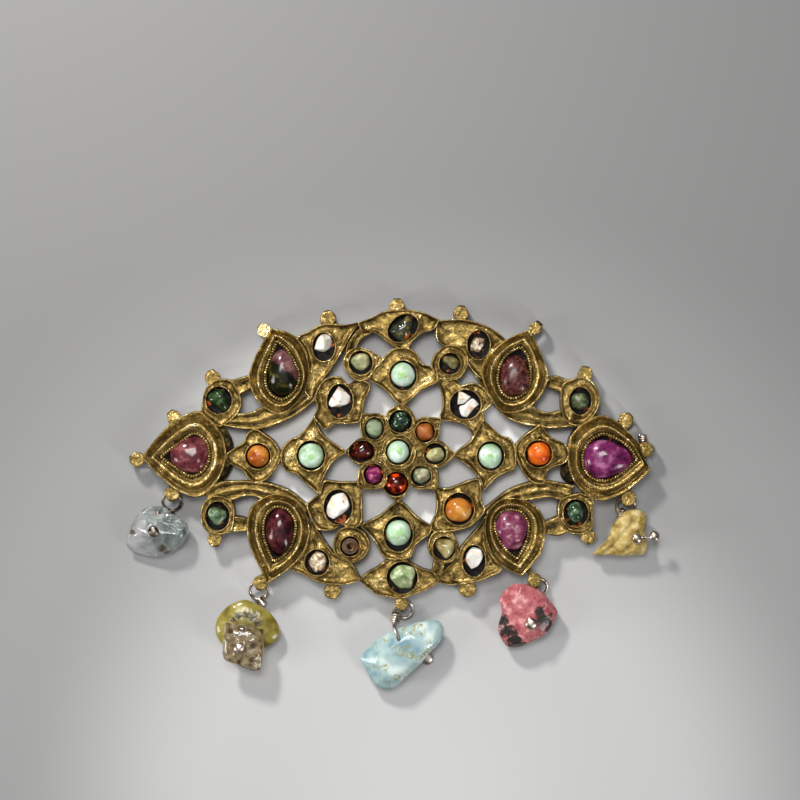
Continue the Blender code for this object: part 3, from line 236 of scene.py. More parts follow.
# Cells: the outline, clockwise on the drawing, where a third value marks a sharp
# corner, then the pocket: centre x, y, width, height and turn in degrees.
CELLS = {
    "star_top": (
        [(403, 406, 1), (396, 402), (388, 393), (379, 386), (368, 380, 1), (370, 374),
         (378, 364), (386, 354.5), (394, 348.5), (403, 347), (411, 348.5), (418, 355),
         (423, 363.5), (430, 366), (438, 371, 1), (438, 381.5), (429, 386.5), (420, 391),
         (413, 398)],
        (403, 375.5, 27.5, 30, 0),
    ),
    "star_left": (
        [(313.5, 417, 1), (318, 426), (325, 436), (334.7, 443.5), (347.5, 451.8, 1),
         (335, 460), (328, 470), (322, 482), (319.5, 494.5, 1), (309, 486), (302, 480),
         (296, 474), (285, 470.5), (280.5, 461), (280.4, 453), (284, 445), (290, 439.5),
         (298, 436), (304, 430), (310, 422)],
        (311, 455.5, 28.5, 30, 0),
    ),
    "star_right": (
        [(482, 418, 1), (492, 427), (501, 435), (509, 437.5), (514, 443), (516.5, 452),
         (516.5, 462), (514, 469), (502, 474.5), (493, 481), (483.5, 491, 1), (480, 480),
         (472, 470.5), (463, 462.5), (451.5, 456, 1), (460, 448.5), (469, 441.5),
         (474, 434), (479, 427)],
        (490.6, 456, 27, 29.5, 0),
    ),
    "star_bottom": (
        [(398, 500, 1), (406, 504.5), (413, 512), (421, 519), (432.5, 526, 1), (430, 534),
         (423, 539), (415.5, 546), (411, 557), (399, 560), (386, 558.5), (380, 551.5),
         (375, 542.5), (368, 533.5), (360, 525, 1), (371, 519.5), (381, 514), (390, 506)],
        (398.3, 534, 29, 35, 0),
    ),
    "corner_upper_left": (
        [(314.5, 398), (317, 389), (323, 380.5), (332, 376.5), (342, 377.5), (347.5, 384),
         (356, 379.5), (364, 380), (371, 385), (368, 394), (364, 403), (363, 413),
         (360, 421.5), (349, 424), (335, 424.5), (326, 430), (318, 424), (313.5, 417),
         (317, 408)],
        (340, 401, 26, 34, 0),
    ),
    "corner_upper_right": (
        [(438.5, 378.5), (449, 377.5), (456, 379), (461, 385), (471, 382.5), (481, 385),
         (488, 392), (493, 401), (488, 408), (483.5, 413), (484.5, 420), (478.5, 428),
         (473.5, 434.5), (466, 426), (457, 422.5), (447, 421), (439.5, 419), (442, 408),
         (442, 396), (439.5, 387)],
        (465.4, 404.5, 31, 29.5, 0),
    ),
    "corner_lower_left": (
        [(306.5, 504), (313, 498.5), (319.5, 492.5), (322, 484), (326, 480), (340, 481.5),
         (352, 481.5), (363, 482), (362.5, 493), (362.5, 507), (362.5, 520), (358, 527),
         (348, 527.5), (341, 524.5), (333, 530), (319, 530), (312.5, 522), (308.5, 513)],
        (338, 507, 28.5, 35, 0),
    ),
    "corner_lower_right": (
        [(433.5, 486.5), (446, 488), (457, 485), (468, 480.5), (479.5, 479), (481.5, 490),
         (481, 499.5), (485.5, 509), (481, 517), (472, 525.5), (460, 530), (446, 532.5),
         (433, 531.5), (430.5, 525), (435, 514), (436.5, 503), (434.5, 494)],
        (459, 509, 30, 32.5, 0),
    ),
    "ring_upper_left": (
        [(343, 363), (344.5, 356), (350, 350), (358, 347.5), (367, 349), (375, 353.5),
         (381.5, 358), (377, 367), (370, 377), (361, 382), (352, 378), (346, 371)],
        (360.8, 362.8, 23.5, 24, 0),
    ),
    "ring_upper_right": (
        [(447, 345), (438, 350.5), (432.5, 358), (430.5, 366), (434, 374), (441, 380),
         (451, 381), (460, 378), (466, 370), (468.5, 361), (466, 352), (458, 346)],
        (450, 363.7, 21.5, 21.5, 0),
    ),
    "ring_lower_left": (
        [(333, 545), (335, 536), (340, 529), (349, 526.5), (358, 528.5), (365, 533),
         (370, 542), (368.5, 551), (362, 559), (352, 563), (341, 559.5), (334, 553)],
        (350, 546.5, 20, 20, 0),
    ),
    "ring_lower_right": (
        [(427.5, 549), (428.5, 540), (433, 532.5), (443, 529.5), (451, 531.5), (457, 540),
         (459, 548), (457.5, 556), (451, 562), (443, 563), (434, 559.5)],
        (444.2, 548.4, 23, 24, 0),
    ),
    "leaf_upper_left": (
        [(297, 338), (309, 331), (320, 325), (332, 323.5), (345, 324.5), (361.5, 321.5, 1),
         (352, 334), (344, 349), (337, 361), (328, 373), (318, 385.5), (310, 399, 1),
         (304, 390), (307.5, 377), (307.5, 364), (304, 350)],
        (323.8, 347, 22.5, 28.5, 0),
    ),
    "leaf_upper_right": (
        [(436.5, 321, 1), (449, 319.5), (462, 319), (475, 321.5), (487, 326), (498, 332.5),
         (507, 340.5, 1), (496, 349), (488, 358), (484, 368), (482, 379), (472, 371),
         (464, 358), (455, 350), (444, 346), (436, 338)],
        (478.6, 344.7, 22.5, 29, 0),
    ),
    "leaf_lower_left": (
        [(290, 568.5), (300, 573), (312, 579.5), (323, 583.5), (337, 585), (349, 584),
         (361.5, 580.5, 1), (357, 571), (350, 561), (338, 556), (331, 549), (324, 539),
         (317, 529), (312, 519, 1), (309, 533), (306, 547), (298, 560)],
        (317, 562.5, 24.5, 26, 0),
    ),
    "leaf_lower_right": (
        [(435.5, 582, 1), (447, 585), (462, 584.5), (477, 582), (490, 577), (502, 570),
         (496, 560), (488, 548), (486.5, 534), (486, 515, 1), (478, 527), (469, 537),
         (461, 547), (457, 557), (450, 565), (441, 574)],
        (474, 561, 23, 31.5, 0),
    ),
    "top": (
        [(357.5, 322.5, 1), (370, 318), (384, 311.5), (398, 309.5), (412, 310),
         (426, 313.5), (440, 320, 1), (434, 329), (421, 334), (413, 341), (408, 347.5),
         (402, 349.5), (395, 347), (388, 343), (380, 336), (371, 332), (361, 330)],
        (403, 328, 33, 24.5, 37),
    ),
    "bottom": (
        [(359, 580, 1), (368, 572), (377, 567), (386, 560), (395, 557), (404, 558.5),
         (413, 563.5), (424, 569), (434, 572), (440, 579.5, 1), (434, 585.5), (424, 591),
         (413, 595), (401, 598.5), (389, 597.5), (377, 594.5), (368, 588.5)],
        (402.3, 577.8, 31, 32, 0),
    ),
    "coral_left": (
        [(225.5, 454, 1), (236, 447), (243, 442), (247, 434), (255, 428.5), (264, 433),
         (274, 440.5), (280, 450), (282, 457), (275, 470), (266, 480), (256, 483.5),
         (248.5, 479), (243, 471), (233, 465.5), (226, 460.5)],
        (258, 456.2, 25, 25.5, 0),
    ),
    "coral_right": (
        [(540.5, 423.5, 1), (546, 431), (552, 437.5), (560, 441), (567.5, 446), (569.5, 455),
         (565, 463), (554, 467), (547, 472.5), (545, 483), (535, 484), (527, 478),
         (520.5, 468), (516, 457), (515, 446), (521, 438), (530, 430.5)],
        (538.6, 453.8, 27, 27, 0),
    ),
    "end_upper_left": (
        [(202, 413.5), (202.5, 400), (205.5, 389), (212, 382), (221, 379), (231, 380),
         (237, 388), (240.5, 396), (241, 407), (236, 416), (228, 423), (219, 427),
         (209.5, 420)],
        (218.8, 400.2, 26, 27, 0),
    ),
    "end_upper_right": (
        [(561, 388), (565, 382), (572, 379), (581, 376.5), (590, 379.5), (597, 388),
         (600, 400), (597, 411), (590, 420), (580, 426), (571, 425), (564, 419),
         (561, 408), (560.5, 397)],
        (580.3, 400.8, 22, 27.5, 0),
    ),
    "end_lower_left": (
        [(201, 519), (201, 509), (205, 501), (213, 495.5), (223, 496), (231, 500.5),
         (234.5, 509), (234.5, 521), (231, 531.5), (221, 534.5), (210, 533.5),
         (203.5, 527)],
        (217.5, 516, 24, 29, 0),
    ),
    "end_lower_right": (
        [(560, 500), (570, 495), (582, 493), (593.5, 500), (592.5, 513), (592.5, 527),
         (586, 533.5), (574, 534.5), (565, 530.5), (559, 521), (557.5, 511)],
        (575.8, 513, 25, 27.5, 0),
    ),
    "petal_top": (
        [(403, 402, 1), (410, 409), (415, 418), (414, 428), (406, 435), (396, 436),
         (388, 430), (385, 421), (387, 412), (395, 406)],
        (400.4, 421.5, 23.5, 22.5, 0),
    ),
    "petal_upper_right": (
        [(413, 422), (421, 417.5), (430, 417), (441.5, 418, 1), (440, 428), (438, 438),
         (431, 444), (420, 443), (414, 436), (411.5, 429)],
        (425, 432, 20, 21, 0),
    ),
    "petal_right": (
        [(456, 454.5, 1), (449, 461), (441, 467), (431, 467), (424, 461), (421.5, 453),
         (424, 445), (432, 440), (441, 441), (449, 447.5)],
        (435.2, 453.8, 22.5, 21.5, 0),
    ),
    "petal_lower_right": (
        [(409, 476), (412, 467.5), (420, 463), (430, 464), (437, 470), (439, 480),
         (436.5, 488.5), (427, 489.5), (417, 489), (410, 484)],
        (421, 476, 20.5, 20.5, 0),
    ),
    "petal_bottom": (
        [(398.5, 503, 1), (391, 497), (384.5, 491), (382, 483), (384.5, 475), (391, 470),
         (401, 470), (408, 475.5), (410.5, 484), (407, 492)],
        (396, 484, 25, 24.5, 0),
    ),
    "petal_lower_left": (
        [(357, 484), (359, 470), (364, 463), (372, 459.5), (381, 462), (386.5, 469),
         (387, 480), (383, 487.5), (373, 489.5), (363, 488.5)],
        (373.7, 474.5, 20, 22, 0),
    ),
    "petal_left": (
        [(344.5, 452, 1), (351, 445), (358, 439), (366, 437.5), (373, 441), (377.5, 449),
         (376, 458), (370, 463), (361, 466), (352, 460.5)],
        (362, 451.5, 26, 22, 0),
    ),
    "petal_upper_left": (
        [(361, 415), (370, 413.5), (379, 413.5), (385, 417), (388.5, 426), (387.5, 436),
         (381, 442), (372, 442.5), (363, 438), (360, 427)],
        (374.3, 428.5, 19.5, 22.5, 0),
    ),
    "centre": (
        [(381, 451.7), (384, 442), (391.5, 435.5), (401, 434), (410, 438), (415.5, 446),
         (415.5, 457), (410.5, 465), (402, 469.5), (392, 468), (384.5, 461.5)],
        (398.3, 452, 25.5, 26, 0),
    ),
}

# Teardrop cells: outline, then the edge of the pocket, both starting at the tip.
DROPS = {
    "drop_left": (
        [(142, 457.5, 1), (150, 446), (161, 433), (170, 424), (180, 417), (190, 412.5),
         (200, 411), (208, 416.5), (217, 426), (223.5, 436), (226.5, 450), (225.5, 463),
         (220, 477), (212, 488), (203, 495.5), (194, 497), (181, 492.5), (168, 483.5),
         (155, 472)],
        [(159, 457, 1), (172, 446), (184, 437.5), (196, 431.5), (206, 438), (211, 450),
         (210.5, 462), (204, 473), (193, 478), (181, 473.5), (170, 465.5)],
    ),
    "drop_upper_left": (
        [(271, 328.5, 1), (284, 331), (297, 337.5), (305, 350), (309, 364), (309, 380),
         (303, 394), (293, 407), (280, 415), (268, 410), (258, 401), (251, 389),
         (249, 375), (255, 357), (263, 342)],
        [(277, 339, 1), (287, 347), (295, 359), (301, 374), (299, 387), (290, 398),
         (281, 401), (270, 396), (264, 384), (264.5, 370), (270, 355)],
    ),
    "drop_upper_right": (
        [(529, 329.5, 1), (534, 338), (541, 353), (546, 366), (548.5, 376), (546, 386),
         (540, 397), (530, 407), (516, 413), (503, 412.5), (495, 404), (487, 391),
         (482, 378), (482, 366), (489, 354), (500, 344), (514, 335.5)],
        [(521, 345, 1), (528.5, 354), (532, 368), (532, 381), (526, 394), (515, 400),
         (504, 397.5), (497, 387), (496, 375), (500, 361), (509, 350.5)],
    ),
    "drop_right": (
        [(650.5, 470, 1), (640, 480), (626, 491.5), (609, 499), (596, 500.5), (584, 493),
         (574.5, 482.5), (568.5, 468), (567.5, 453), (569.5, 438), (577, 427.5),
         (588, 419.5), (599, 415), (609, 417), (620, 423.5), (630, 433.5), (639, 444),
         (643.5, 456)],
        [(639, 460, 1), (628, 470), (616, 479), (605, 482.5), (592, 480), (583, 471),
         (580.5, 459), (582.5, 448), (590, 438), (603, 432), (618, 437), (631, 447)],
    ),
    "drop_lower_left": (
        [(267, 584, 1), (261, 570), (253, 554), (248, 538), (247, 522), (251, 507),
         (260, 499), (273, 494), (287, 495.5), (299, 503), (307, 515), (310, 530),
         (307, 546), (299, 559), (290, 568), (278, 577)],
        [(273, 563, 1), (266, 549), (262, 535), (262.5, 520), (269, 508.5), (279, 504.5),
         (290, 509), (297, 521), (297, 535), (291.5, 549), (283, 558.5)],
    ),
    "drop_lower_right": (
        [(522, 576, 1), (508, 570), (497, 562), (489, 549), (485, 534), (485.5, 519),
         (492, 506), (503, 498.5), (516, 498), (528, 501.5), (538, 508.5), (544.5, 520),
         (545.5, 534), (541.5, 552), (533.5, 563)],
        [(517.5, 561, 1), (507, 553), (498, 542), (493.5, 529), (494.5, 517), (502, 509.5),
         (513, 507.5), (523, 511.5), (530, 522), (529.5, 537), (524.5, 550)],
    ),
}

# Soldered strips: one edge, then the other, point for point.
STRIPS = {
    "arm_upper_left": (
        [(221, 415), (238, 413.5), (250, 412.3), (260, 407.5), (270, 403.5), (284, 404),
         (298, 398), (309, 390)],
        [(219, 424.5), (234, 428), (248, 429.5), (263, 429), (277, 424.5), (293, 417),
         (307, 407), (316, 399)],
    ),
    "arm_upper_right": (
        [(498, 396), (506, 404), (517, 408), (531, 405.5), (541, 410.5), (551, 412),
         (562, 409.5), (573, 412)],
        [(491.5, 401), (500, 412.5), (511, 420), (522, 424.5), (535, 426.5), (548, 428.5),
         (562, 428), (577, 426)],
    ),
    "arm_lower_left": (
        [(203, 494), (213, 485), (224, 481), (236, 480.5), (250, 480.8), (265, 482),
         (279, 485.5), (291, 491), (301, 499), (310, 507)],
        [(212, 502), (221, 501.5), (229, 501), (236, 499.5), (244, 496.5), (254, 496.5),
         (264, 500), (278, 503), (291, 508), (303, 516)],
    ),
    "arm_lower_right": (
        [(484, 508.5), (495, 499.5), (506, 491), (519, 485), (533, 481), (547, 480),
         (559, 482), (574, 485)],
        [(490, 518), (500, 509), (511, 503), (522, 501.5), (536, 499.5), (548, 497.5),
         (560, 500), (569, 503)],
    ),
    "band_top_left": (
        [(344.5, 358), (347, 345), (353, 335), (361, 326.5)],
        [(357, 353), (358, 345), (363, 338), (372, 333)],
    ),
    "tail_upper_right": (
        [(471.5, 370), (480, 384), (486, 393), (491, 401)],
        [(482, 368), (486, 381), (492, 393), (499, 403)],
    ),
    "link_upper_left": (
        [(229, 380.5), (240, 377.5), (254, 373)],
        [(232, 397), (242, 394), (254, 386)],
    ),
    "link_upper_right": (
        [(545, 378), (556, 375.5), (567, 379), (575, 380)],
        [(545, 386), (555, 390), (563, 393.5), (571, 393)],
    ),
    "link_lower_left": (
        [(227.5, 518.5), (238, 516), (250, 519.5)],
        [(227, 531.5), (239, 532.5), (250, 530)],
    ),
    "link_lower_right": (
        [(543, 522), (555, 517), (563, 511)],
        [(543, 533.5), (558, 536), (569, 532)],
    ),
    "strut_lower_right": (
        [(434, 558), (431, 574)],
        [(446, 561), (442, 576)],
    ),
}

# The plate under the rosette, and the layered sheet that shows at either side arm.
FIELD = [(379, 420), (412, 423), (430, 433), (432, 468), (415, 482), (384, 481),
         (368, 470), (364, 445)]
LAYERS_LEFT = [(214, 424), (225, 430), (231.5, 442), (232.5, 457), (230, 470),
               (222, 482), (212, 487), (206, 455)]
LAYERS_RIGHT = [(574, 458), (563.5, 465), (561.5, 473), (564, 480), (573, 485),
                (582, 472)]

# Strap loops: disc centre x, y, outward direction in degrees, disc radius.
LOOPS = [
    (397, 306.5, 90, 7.8), (328, 318.5, 100, 8.0), (264.5, 330.5, 135, 7.3),
    (212.5, 378, 112, 7.9), (174, 418, 128, 7.4), (137, 459.5, 180, 7.4),
    (214.6, 539, 268, 7.6), (332.5, 591, 270, 8.6), (467.5, 589, 272, 8.8),
    (588, 536.5, 292, 7.6), (646, 449.5, 10, 7.6), (626, 420.5, 42, 7.8),
    (585.5, 374.5, 82, 7.8), (535.5, 328.5, 52, 6.4), (461, 313.5, 85, 7.6),
]
# Loops that carry a pendant: disc centre x, y, outward direction, disc radius.
PENDANT_LOOPS = {
    "rock_crystal": (171.5, 493.5, 262, 7.4),
    "double": (260.5, 583, 252, 7.4),
    "aqua": (401.5, 603.5, 270, 7.0),
    "rhodonite": (534.5, 580.5, 300, 7.2),
    "twisted": (629, 498.5, 258, 7.6),
}
# Each pendant's wire: centre of its ring, the two ends of its wound neck and the
# route of its shank, whose third value is 0 behind the bead and 1 over it.
WIRES = {
    "rock_crystal": (
        (170.2, 502.5), [(169, 511), (166.5, 518)],
        [(165, 521, 0), (157, 529, 0), (154.5, 531, 0.1), (154.5, 531, 1)],
    ),
    "double": (
        (257.7, 591.7), [(257.5, 600), (262.5, 606.5)],
        [(258, 613, 0), (242, 643, 0), (240, 646, 0.1), (240, 646, 1)],
    ),
    "aqua": (
        (403.8, 611), [(396.4, 614), (394.5, 623.5)],
        [(394, 625, 0.1), (394, 626, 0.9), (395, 629, 1), (397.8, 636.5, 1),
         (398.2, 638, 0.9), (398.2, 638, 0.1), (401, 641, 0), (427, 660, 0.05)],
    ),
    "rhodonite": (
        (539, 588.4), [(540.5, 597), (540, 604)],
        [(538, 610, 0), (532, 620.5, 0), (530.7, 622.7, 0.1), (530.7, 622.7, 1)],
    ),
    "twisted": (
        (627.1, 507.4), [(625.4, 510), (622.4, 517)],
        [(627, 526, 0), (635, 536, 0), (636.5, 538, 0.1), (636.5, 538, 1)],
    ),
}

# Stones: x, y, width, height, turn in degrees, egg (+ narrows the top), squareness,
# height of the crown.
STONES = {
    "stone_centre": (398, 452, 22, 22.5, 0, 0.0, 2.0, 0.0034),
    "stone_petal_top": (400, 421.5, 20, 19, 0, 0.0, 2.2, 0.0026),
    "stone_petal_upper_right": (425, 432, 16.6, 17.6, 12, 0.0, 3.2, 0.0030),
    "stone_petal_right": (435.2, 455, 19, 16, -4, 0.0, 2.6, 0.0028),
    "stone_petal_lower_right": (421, 475.8, 16.6, 16, 0, 0.0, 2.4, 0.0028),
    "stone_petal_bottom": (396, 484, 21.5, 21, 0, 0.0, 2.0, 0.0032),
    "stone_petal_lower_left": (373.6, 474.5, 16.4, 17.5, 0, 0.0, 2.0, 0.0030),
    "stone_petal_left": (362, 451.3, 22, 18.6, 12, 0.0, 2.2, 0.0028),
    "stone_petal_upper_left": (374.2, 428.5, 16, 19, 0, 0.0, 2.2, 0.0028),
    "stone_star_top": (403, 374.6, 24, 24, 0, 0.0, 2.0, 0.0036),
    "stone_star_left": (311, 455.8, 25, 25, 0, 0.0, 2.1, 0.0036),
    "stone_star_right": (490.4, 456, 23.4, 25, 0, 0.0, 2.0, 0.0036),
    "stone_star_bottom": (398.4, 533, 25, 25.5, 0, 0.0, 2.1, 0.0036),
    "stone_corner_upper_left": (339.7, 396.5, 20, 22, 30, -0.1, 2.6, 0.0030),
    "stone_corner_upper_right_a": (464.5, 396.2, 15.5, 8.5, -28, 0.0, 2.6, 0.0028),
    "stone_corner_upper_right_b": (468.6, 408.3, 20, 9.5, 38, 0.0, 2.6, 0.0028),
    "stone_corner_lower_left": (338.3, 505.5, 23, 27, -8, 0.0, 2.4, 0.0030),
    "stone_corner_lower_right": (458.6, 510, 26.4, 24, 0, 0.0, 2.2, 0.0036),
    "stone_ring_upper_left": (360.2, 362.6, 19, 18.6, 0, 0.0, 2.2, 0.0028),
    "stone_ring_upper_right": (450.2, 363.5, 17, 17.6, 0, 0.0, 2.2, 0.0028),
    "stone_ring_lower_left": (349.9, 546.6, 16.6, 16.6, 0, 0.0, 2.0, 0.0026),
    "stone_ring_lower_right": (444.2, 548.6, 19.6, 20.6, 0, -0.12, 2.1, 0.0030),
    "stone_leaf_upper_left": (323.2, 343.6, 18, 18.6, 0, 0.0, 2.3, 0.0028),
    "stone_leaf_upper_right": (478.2, 344.4, 16.4, 15.6, 25, 0.0, 2.2, 0.0026),
    "stone_leaf_lower_left": (317, 562, 20, 20.6, 30, 0.0, 2.3, 0.0028),
    "stone_leaf_lower_right": (474.2, 558.6, 19, 22.6, 8, 0.0, 2.6, 0.0028),
    "stone_top": (403, 328, 29.4, 20.6, 37, 0.0, 2.1, 0.0034),
    "stone_bottom": (402.3, 577.6, 26.6, 27.4, 40, 0.0, 2.5, 0.0034),
    "stone_coral_left": (258, 456.3, 22, 22.4, 0, 0.0, 2.0, 0.0034),
    "stone_coral_right": (539.3, 453.8, 23, 24, 0, 0.0, 2.1, 0.0034),
    "stone_end_upper_left": (218.5, 400.4, 21.6, 22.2, 0, 0.0, 2.2, 0.0030),
    "stone_end_upper_right": (580.5, 401.2, 18, 18, 0, 0.0, 2.1, 0.0028),
    "stone_end_lower_left": (217.3, 516, 19.4, 20.4, 0, -0.1, 2.2, 0.0030),
    "stone_end_lower_right": (575.7, 512.3, 15.8, 21.6, 0, 0.0, 2.1, 0.0030),
    "stone_drop_left": (189.6, 455, 35.5, 41, 90, 0.22, 2.3, 0.0044),
    "stone_drop_upper_left": (283, 373, 31, 47, 0, 0.16, 2.1, 0.0046),
    "stone_drop_upper_right": (515, 376, 30.5, 41.5, 0, 0.14, 2.2, 0.0046),
    "stone_drop_right": (608, 459.3, 37.5, 49, -90, 0.30, 2.1, 0.0046),
    "stone_drop_lower_left": (280, 531.2, 29, 48, 0, 0.0, 2.05, 0.0046),
    "stone_drop_lower_right": (511.8, 530.2, 31.5, 40, 0, -0.14, 2.2, 0.0044),
}

# Beads: outline, bottom, top and the wire that carries it.
BEADS = {
    "bead_rock_crystal": (
        [(142, 512), (151, 507), (164, 506), (172, 513), (185.5, 519.5), (188, 531),
         (181.6, 544), (164, 556.5), (151, 561), (138, 557), (128, 553), (124, 542.5),
         (129, 528.5), (135, 519)],
        BEAD_BOTTOM, 0.0066, "rock_crystal",
    ),
    "bead_yellow_green": (
        [(215, 630), (218, 618), (227, 608), (238, 602), (247, 600.5), (256, 604),
         (265, 609), (273, 617), (278, 626), (278, 636), (272, 644), (264, 649),
         (250, 657), (236, 657), (224, 648), (217, 639)],
        BEAD_BOTTOM, 0.0046, "double",
    ),
    "bead_grey_quartz": (
        [(227, 621.5), (239, 623), (253, 624), (261, 633), (264, 645), (263, 656),
         (260, 668), (255, 671.5), (238, 665), (224, 658.5), (223.5, 645), (224.5, 630)],
        0.0049, 0.0082, "double",
    ),
    "bead_aqua": (
        [(434, 621), (442, 627), (441, 641), (427, 656), (409, 675), (391, 688),
         (379, 686), (370, 677), (360, 661), (363, 654), (381, 638), (404, 625)],
        BEAD_BOTTOM, 0.0068, "aqua",
    ),
    "bead_rhodonite": (
        [(509, 586), (525, 584), (543, 593), (556, 607.5), (557.5, 616), (547, 634),
         (531, 643), (518, 650), (506, 647), (499, 634), (499, 624), (502, 613),
         (500, 597)],
        BEAD_BOTTOM, 0.0062, "rhodonite",
    ),
    "bead_twisted": (
        [(622, 516), (631, 511), (641, 510), (647, 516), (644.5, 533), (648, 550.5),
         (643, 558), (619, 556.6), (596, 555.7), (594.6, 552), (606.6, 540), (613.5, 526)],
        BEAD_BOTTOM, 0.0058, "twisted",
    ),
}


def metres(points):
    """Drawing points as x, y in metres."""
    return (np.asarray(points, float)[..., :2] - GRID_CENTRE) * STEP * (1, -1)


def clockwise(points):
    """The points in clockwise order on the drawing, with the first one kept first."""
    x, y = np.array([p[:2] for p in points], float).T
    area = np.sum(x * np.roll(y, -1) - np.roll(x, -1) * y)
    return list(points) if area > 0 else [points[0]] + list(points[:0:-1])


def cubic(p0, p1, p2, p3, per):
    """The curve from each p1 to its p2: the cubic whose slopes at both ends are half
    the way between the neighbours on either side."""
    t = (np.arange(per) / per)[:, None]
    weights = (
        (-t + 2 * t ** 2 - t ** 3) / 2,
        (2 - 5 * t ** 2 + 3 * t ** 3) / 2,
        (t + 4 * t ** 2 - 3 * t ** 3) / 2,
        (-t ** 2 + t ** 3) / 2,
    )
    curve = sum(w * p[:, None, :] for w, p in zip(weights, (p0, p1, p2, p3)))
    return curve.reshape(-1, p1.shape[1])


def spaced(curve, count, closed=True):
    """The curve as `count` points, equally far apart along it."""
    loop = np.vstack([curve, curve[:1]]) if closed else curve
    run = np.concatenate([[0], np.cumsum(np.linalg.norm(np.diff(loop, axis=0), axis=1))])
    at = np.linspace(0, run[-1], count, endpoint=not closed)
    return np.column_stack([np.interp(at, run, axis) for axis in loop.T])


def round_curve(points, count):
    """A closed smooth curve through drawing points, sharp where a point is marked."""
    rows = np.array([(*p[:2], len(p) > 2) for p in clockwise(points)], float)
    p1, corner = rows[:, :2], rows[:, 2:] > 0
    p2 = np.roll(p1, -1, 0)
    p0 = np.where(corner, p1, np.roll(p1, 1, 0))
    p3 = np.where(np.roll(corner, -1, 0), p2, np.roll(p1, -2, 0))
    return spaced(cubic(p0, p1, p2, p3, 16), count)


def open_curve(points, count):
    """A smooth curve through points, from the first to the last."""
    p = np.asarray(points, float)
    p = np.vstack([2 * p[0] - p[1], p, 2 * p[-1] - p[-2]])
    curve = cubic(p[:-3], p[1:-2], p[2:-1], p[3:], 16)
    return spaced(np.vstack([curve, p[-2]]), count, closed=False)


def oval_edge(pocket, toward):
    """The points of a turned oval that lie in the directions of other points."""
    cx, cy, width, height, turn = pocket
    away = toward - (cx, cy)
    angle = np.arctan2(-away[:, 1], away[:, 0])
    local = angle - np.radians(turn)
    a, b = width / 2, height / 2
    r = a * b / np.hypot(b * np.cos(local), a * np.sin(local))
    return np.column_stack([cx + r * np.cos(angle), cy - r * np.sin(angle)])


def lumps(size, seed, *axes):
    """A smooth random height between about -1 and 1 whose lumps are `size` metres
    across: the sum of plane waves in random directions and phases."""
    draw = np.random.default_rng(seed)
    total = 0
    for _ in range(WAVES):
        direction = draw.normal(size=len(axes))
        direction /= np.linalg.norm(direction)
        pace = 2 * np.pi / (size * draw.uniform(1.0, 2.6))
        phase = draw.uniform(0, 2 * np.pi)
        total = total + np.cos(pace * sum(d * a for d, a in zip(direction, axes)) + phase)
    return total * (2 / WAVES) ** 0.5 * 0.6


def wrinkles(size, seed, *axes):
    """Sharp creases between soft swellings: folded lumps, from -1 to 1."""
    return 1 - 2 * np.abs(lumps(size, seed, *axes)) ** 0.8


def raised(form, relief, seed, *axes):
    """Lumps or wrinkles, as high and as wide as a relief says."""
    height, size = relief
    return height * form(size, seed, *axes)


def inside(plan, outline):
    """Which points of a plan lie within a closed outline: those from which a line to
    the right crosses it an odd number of times."""
    x, y = plan[..., 0, None], plan[..., 1, None]
    a, b = outline, np.roll(outline, -1, 0)
    rise = b[:, 1] - a[:, 1]
    rise = np.where(rise == 0, 1e-12, rise)
    crosses = (a[:, 1] > y) != (b[:, 1] > y)
    meets = x < (b[:, 0] - a[:, 0]) * (y - a[:, 1]) / rise + a[:, 0]
    return np.sum(crosses & meets, axis=-1) % 2 == 1


def tucked(plan, z, names):
    """Heights that duck under the named cells wherever the plan lies within them."""
    for name in names:
        outline, _ = CELLS.get(name) or DROPS[name]
        edge = metres(round_curve(outline, 100))
        middle = edge.mean(axis=0)
        drawn = middle + (edge - middle) * 0.97
        z = np.where(inside(plan, drawn), np.minimum(z, TUCKED_HEIGHT), z)
    return z


def lofted(rows, around=True, ends=True):
    """A closed shape through loops of points: its vertices, four-sided faces and caps."""
    grid = np.asarray(rows, float)
    count, size = grid.shape[:2]
    index = np.arange(count * size).reshape(count, size)
    beside = np.roll(index, -1, 1)
    faces = np.stack([index[:-1], index[1:], beside[1:], beside[:-1]], axis=-1)
    faces = (faces if around else faces[:, :-1]).reshape(-1, 4)
    caps = [index[0], index[-1, ::-1]] if ends and around else []
    points = grid.reshape(-1, 3)
    a, b, c, d = (points[faces[:, k]] for k in range(4))
    inside = np.einsum("ij,ij->", a, np.cross(b, c)) + np.einsum("ij,ij->", a, np.cross(c, d))
    for cap in caps:
        p = points[cap]
        inside += np.einsum("ij,ij->", np.cross(p[1:-1], p[2:]), np.tile(p[0], (len(p) - 2, 1)))
    if inside < 0:
        faces, caps = faces[:, ::-1], [cap[::-1] for cap in caps]
    return points, faces, caps


